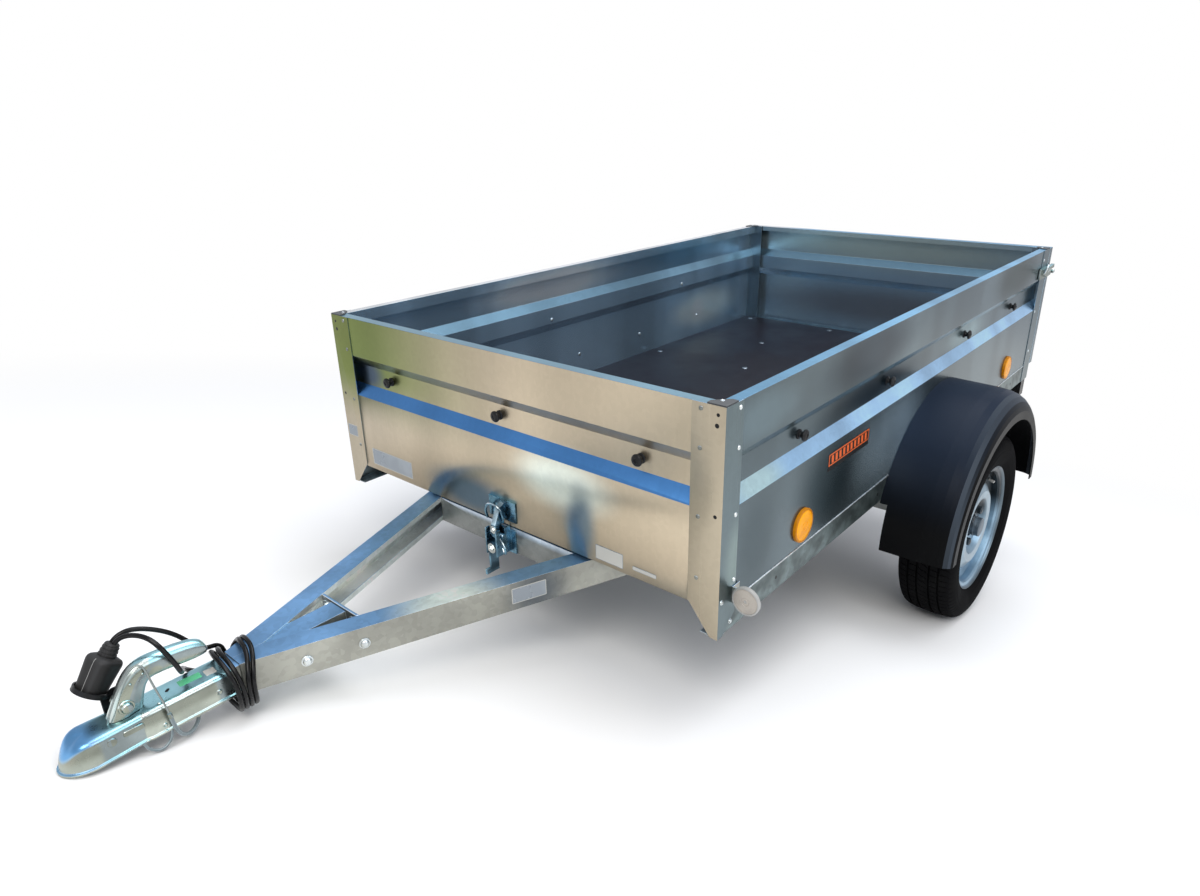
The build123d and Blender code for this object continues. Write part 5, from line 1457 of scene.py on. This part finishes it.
def makeLatchDetail():
    # the hoop tilts with the bed, the pull ring stays on the drawbar
    for name, body, key, radius, flats in (
            ("tiltLatchHoop", "bed", "hoop", 3.2, 10.0), ("tiltLatchRing", "chassis", "ring", 2.2, 13.0)):
        shape = startShape()
        addHexBolt(shape, latchDetail[key + "Bolt"], (1, 0, 0), flats, mark=1)
        line = smoothLine(latchDetail[key], 36)
        addSweep(shape, line, [radius] * len(line), 14)
        makePiece(shape, name, ["paintedSkyZinc", "brightZinc"], body)


tyreCentre = 272.0
tyre = {
    "middle": 703.0, "blocks": 88, "sipe": 2.2,
    # share of a block's length and of the sipe's depth
    "sipeShape": ((0.0, 0.0), (0.87, 0.0), (0.89, 1.0), (0.97, 1.0), (0.99, 0.0)),
    # the sipes lean and step from rib to rib, in blocks
    "ribPitch": 25.0, "lean": 0.004, "step": 0.37,
    # inner half of the section: distance from the middle, radius, takes the sipes
    "half": [
        (-59.0, 176.0, 0), (-64.0, 180.0, 0), (-66.0, 186.0, 0), (-68.6, 190.0, 0), (-70.4, 194.0, 0),
        (-72.2, 200.0, 0), (-72.9, 201.0, 0), (-73.4, 204.0, 0), (-76.2, 216.0, 0), (-77.2, 226.0, 0),
        (-77.3, 228.0, 0), (-76.8, 229.0, 0), (-76.8, 231.0, 0), (-77.0, 232.0, 0), (-76.2, 240.0, 0),
        (-73.2, 250.0, 0), (-68.6, 258.4, 0.4), (-65.6, 262.2, 0.8), (-61.6, 265.6, 1), (-56.0, 268.0, 1),
        (-46.0, 269.9, 1), (-42.6, 270.2, 1), (-42.2, 263.6, 0), (-37.8, 263.6, 0), (-37.4, 270.6, 1),
        (-28.0, 271.2, 1), (-18.6, 271.5, 1), (-18.2, 264.2, 0), (-13.8, 264.2, 0), (-13.4, 271.6, 1),
        (-4.0, 271.7, 1)],
}


def skinLoop(shape, rings):
    # closed band of closed rings
    count = len(rings[0])
    start = len(shape["points"])
    for ring in rings[:-1]:
        shape["points"].extend(ring)
    total = len(rings) - 1
    for a in range(total):
        b = (a + 1) % total
        for i in range(count):
            j = (i + 1) % count
            shape["faces"].append([start + a * count + i, start + a * count + j,
                                   start + b * count + j, start + b * count + i])
            shape["marks"].append(0)


def makeTyres():
    # ribbed road tyre with narrow slanted sipes, closed by its inner face
    pitch = 2 * math.pi / tyre["blocks"]
    section = tyre["half"] + [(-y, radius, sipes) for y, radius, sipes in reversed(tyre["half"])]
    for side, name in ((1, "left"), (-1, "right")):
        shape = startShape()
        rings = []
        for block in range(tyre["blocks"]):
            for share, depth in tyre["sipeShape"]:
                ring = []
                for y, radius, sipes in section:
                    rib = round(y / tyre["ribPitch"])
                    angle = (block + share + tyre["lean"] * y + tyre["step"] * rib) * pitch
                    r = radius - tyre["sipe"] * depth * sipes
                    ring.append((
                        r * math.sin(angle), side * tyre["middle"] + y, tyreCentre + r * math.cos(angle)))
                rings.append(ring)
        rings.append(rings[0])
        skinLoop(shape, rings)
        piece = makePiece(
            shape, "treadTyre" + name.capitalize(), ["tyreRubber"], "wheel_" + name, sharp=40)
        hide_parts("tyre_" + name)


wheelTrim = {
    "middle": 703.0, "boltCircle": 50.0, "nutFlats": 19.2, "nutStart": 33.0,
    "nutSeat": [(0, 12.6), (2.4, 12.4), (3.2, 11.2)],
    "cap": [(44.0, 28.6), (46.6, 28.4), (47.4, 27.2), (56.6, 26.8), (59.6, 25.4), (61.0, 22.0),
            (61.8, 12.0), (62.0, 0.0)],
    # angle, radius and foot of the valve, and how far it leans inwards
    "valve": (140, 158.0, 14.0), "valveLean": 0.25,
    "valveStem": [(0, 5.6), (6, 4.8), (14, 3.4), (26, 3.2), (26.2, 4.2), (33.6, 4.2), (34.6, 3.4),
                  (34.6, 0)],
}


def makeWheelTrim():
    for side, name in ((1, "left"), (-1, "right")):
        shape = startShape()
        y = side * wheelTrim["middle"]
        corner = wheelTrim["nutFlats"] / 2 / math.cos(math.pi / 6)
        for quarter in range(4):
            angle = math.radians(45 + 90 * quarter)
            spot = (wheelTrim["boltCircle"] * math.cos(angle), y + side * wheelTrim["nutStart"],
                    tyreCentre + wheelTrim["boltCircle"] * math.sin(angle))
            addTurned(shape, spot, (0, side, 0), [
                (0, 12.4), (2.6, 12.0), (3.0, corner), (12.6, corner), (14.4, corner * 0.86),
                (15.6, corner * 0.6), (16.0, 0)], 6, spin=0.2)
            addTurned(shape, spot, (0, side, 0), wheelTrim["nutSeat"], 28)
        addTurned(shape, (0, y, tyreCentre), (0, side, 0), wheelTrim["cap"], 40, mark=2)
        angle, radius, foot = wheelTrim["valve"]
        away = Vector((math.cos(math.radians(angle)), 0, math.sin(math.radians(angle))))
        spot = Vector((0, y + side * foot, tyreCentre)) + away * radius
        addTurned(shape, spot, Vector((0, side, 0)) - away * wheelTrim["valveLean"],
                  wheelTrim["valveStem"], 16, mark=1)
        makePiece(shape, "wheelNuts" + name.capitalize(), ["nutSteelPaintedShade", "greyAndSeamHighlight", "hubSteel"],
                  "wheel_" + name)


rearDetail = {
    # x, distance from the middle, z, width, height; the lens in segments: shift, span, mark
    "lamp": (-967.0, 511.0, 411.0, 160.0, 52.0),
    "segments": [(0.34, 0.29, 0), (0.0, 0.36, 1), (-0.34, 0.29, 2)],
    "plateScrews": [(-967.0, -45.0, 412.0), (-967.0, 45.0, 412.0)],
    "latch": (-938.0, 612.5, 843.0), "striker": (-994.0, 618.0, 832.0),
    "grip": [(-880.0, 612.0, 838.0), (-868.0, 618.0, 846.0), (-862.0, 624.0, 860.0),
             (-868.0, 626.0, 872.0)],
    "gripRadius": 3.2,
    "hinges": (-1002.0, [430.0, 0.0, -430.0], 508.0), "hingeShift": 20.0,
    "screwHead": [(-0.3, 4.6), (1.2, 4.4), (2.2, 3.0), (1.4, 2.6), (1.4, 0)],
    "hingeHead": [(-0.3, 6.4), (1.6, 6.0), (3.0, 3.8), (3.2, 0)],
    "latchHead": [(0, 8.0), (2.2, 7.8), (3.2, 6.4), (3.6, 0)],
    "strikerHead": [(-0.5, 7.6), (1.5, 7.4), (2.4, 5.0), (2.4, 0)],
}


def makeRearDetail():
    parts = rearDetail
    x, y, z, width, height = parts["lamp"]
    shape = startShape()
    for side in (1, -1):
        for shift, span, mark in parts["segments"]:
            addPad(shape, (x + 0.5, side * (y + shift * width), z), (0, -1, 0), (0, 0, 1), span * width,
                   height, 3.2, corner=4.0, edge=1.4, mark=mark)
    makePiece(shape, "lampSegments", ["amberLens", "redLens", "whiteLens"], "bed")

    shape = startShape()
    gate = startShape()
    for spot in parts["plateScrews"]:
        addTurned(shape, spot, (-1, 0, 0), parts["screwHead"], 20)
    x, middles, z = parts["hinges"]
    for y in middles:
        for shift in (-parts["hingeShift"], parts["hingeShift"]):
            addTurned(gate, (x, y + shift, z), (-1, 0, 0), parts["hingeHead"], 20)
    for side in (1, -1):
        x, y, z = parts["latch"]
        addTurned(shape, (x, side * y, z), (0, side, 0), parts["latchHead"], 24)
        x, y, z = parts["striker"]
        addTurned(gate, (x, side * y, z), (0, side, 0), parts["strikerHead"], 24)
        grip = smoothLine([(x, side * y, z) for x, y, z in parts["grip"]], 16)
        addSweep(shape, grip, [parts["gripRadius"]] * len(grip), 12)
    makePiece(shape, "rearFittings", ["brightZinc"], "bed")
    makePiece(gate, "gateFittings", ["brightZinc"], "tailgate")


makeKnobs()
makeReflectors()
makeBedFastenings()
makeLabels()
makeDrawbarBolts()
makeLatchDetail()
print("bed and drawbar dressed")
makeTyres()
makeWheelTrim()
makeRearDetail()
print("wheels and rear dressed")

studio = {
    "floorColor": (0.86, 0.86, 0.86, 1), "floorRough": 0.9, "floorSize": 30.0, "fadeStart": 1.6,
    "fadeEnd": 4.2, "worldColor": (0.90, 0.93, 1.0, 1), "worldStrength": 0.70, "white": (1, 1, 1, 1),
    # name, place, aims at, width, height, watts, colour
    "lamps": [
        ("frontSoftbox", (4.5, 2.5, 4.2), (0.2, 0, 0.4), 3.0, 3.0, 190, (1.0, 0.97, 0.92)),
        ("topSoftbox", (-0.5, 0.5, 5.5), (0, 0, 0.4), 5.0, 4.0, 200, (0.95, 0.97, 1.0)),
        ("sideSoftbox", (0.0, 6.0, 3.0), (0, 0, 0.4), 4.0, 2.5, 65, (0.92, 0.96, 1.0)),
    ],
}


def makeStudio():
    world = bpy.data.worlds.new("studioWorld")
    bpy.context.scene.world = world
    world.use_nodes = True
    tree = world.node_tree
    tree.nodes.clear()
    ambient = addNode(tree, "ShaderNodeBackground", {
        "Color": studio["worldColor"], "Strength": studio["worldStrength"]})
    backdrop = addNode(tree, "ShaderNodeBackground", {"Color": studio["white"], "Strength": 1.0})
    path = addNode(tree, "ShaderNodeLightPath")
    seen = addNode(tree, "ShaderNodeMixShader", {
        "Fac": path.outputs["Is Camera Ray"], 1: ambient.outputs["Background"],
        2: backdrop.outputs["Background"]})
    addNode(tree, "ShaderNodeOutputWorld", {"Surface": seen.outputs["Shader"]})

    floorMesh = bpy.data.meshes.new("studioFloor")
    size = studio["floorSize"]
    floorMesh.from_pydata(
        [(-size, -size, 0), (size, -size, 0), (size, size, 0), (-size, size, 0)], [], [(0, 1, 2, 3)])
    floor = bpy.data.objects.new("studioFloor", floorMesh)
    bpy.context.collection.objects.link(floor)
    # pale near the trailer, plain white far off
    material, tree, shader = newMaterial("paleFloor")
    setInputs(tree, shader, {"Base Color": studio["floorColor"], "Roughness": studio["floorRough"]})
    coords = addNode(tree, "ShaderNodeTexCoord")
    reach = addNode(tree, "ShaderNodeVectorMath", {0: coords.outputs["Object"]}, operation="LENGTH")
    fade = between(tree, reach.outputs["Value"], studio["fadeStart"], studio["fadeEnd"])
    glow = addNode(tree, "ShaderNodeEmission", {"Color": studio["white"], "Strength": 1.0})
    faded = addNode(tree, "ShaderNodeMixShader", {
        "Fac": fade, 1: shader.outputs["BSDF"], 2: glow.outputs["Emission"]})
    setInputs(tree, tree.nodes["Material Output"], {"Surface": faded.outputs["Shader"]})
    floorMesh.materials.append(material)

    for name, spot, aim, width, height, watts, color in studio["lamps"]:
        data = bpy.data.lights.new(name, "AREA")
        data.shape = "RECTANGLE"
        data.size = width
        data.size_y = height
        data.energy = watts
        data.color = color
        lamp = bpy.data.objects.new(name, data)
        lamp.location = spot
        lamp.rotation_euler = (Vector(aim) - Vector(spot)).to_track_quat("-Z", "Y").to_euler()
        bpy.context.collection.objects.link(lamp)
    bpy.context.scene.view_settings.view_transform = "Standard"


makeStudio()
print("studio made")
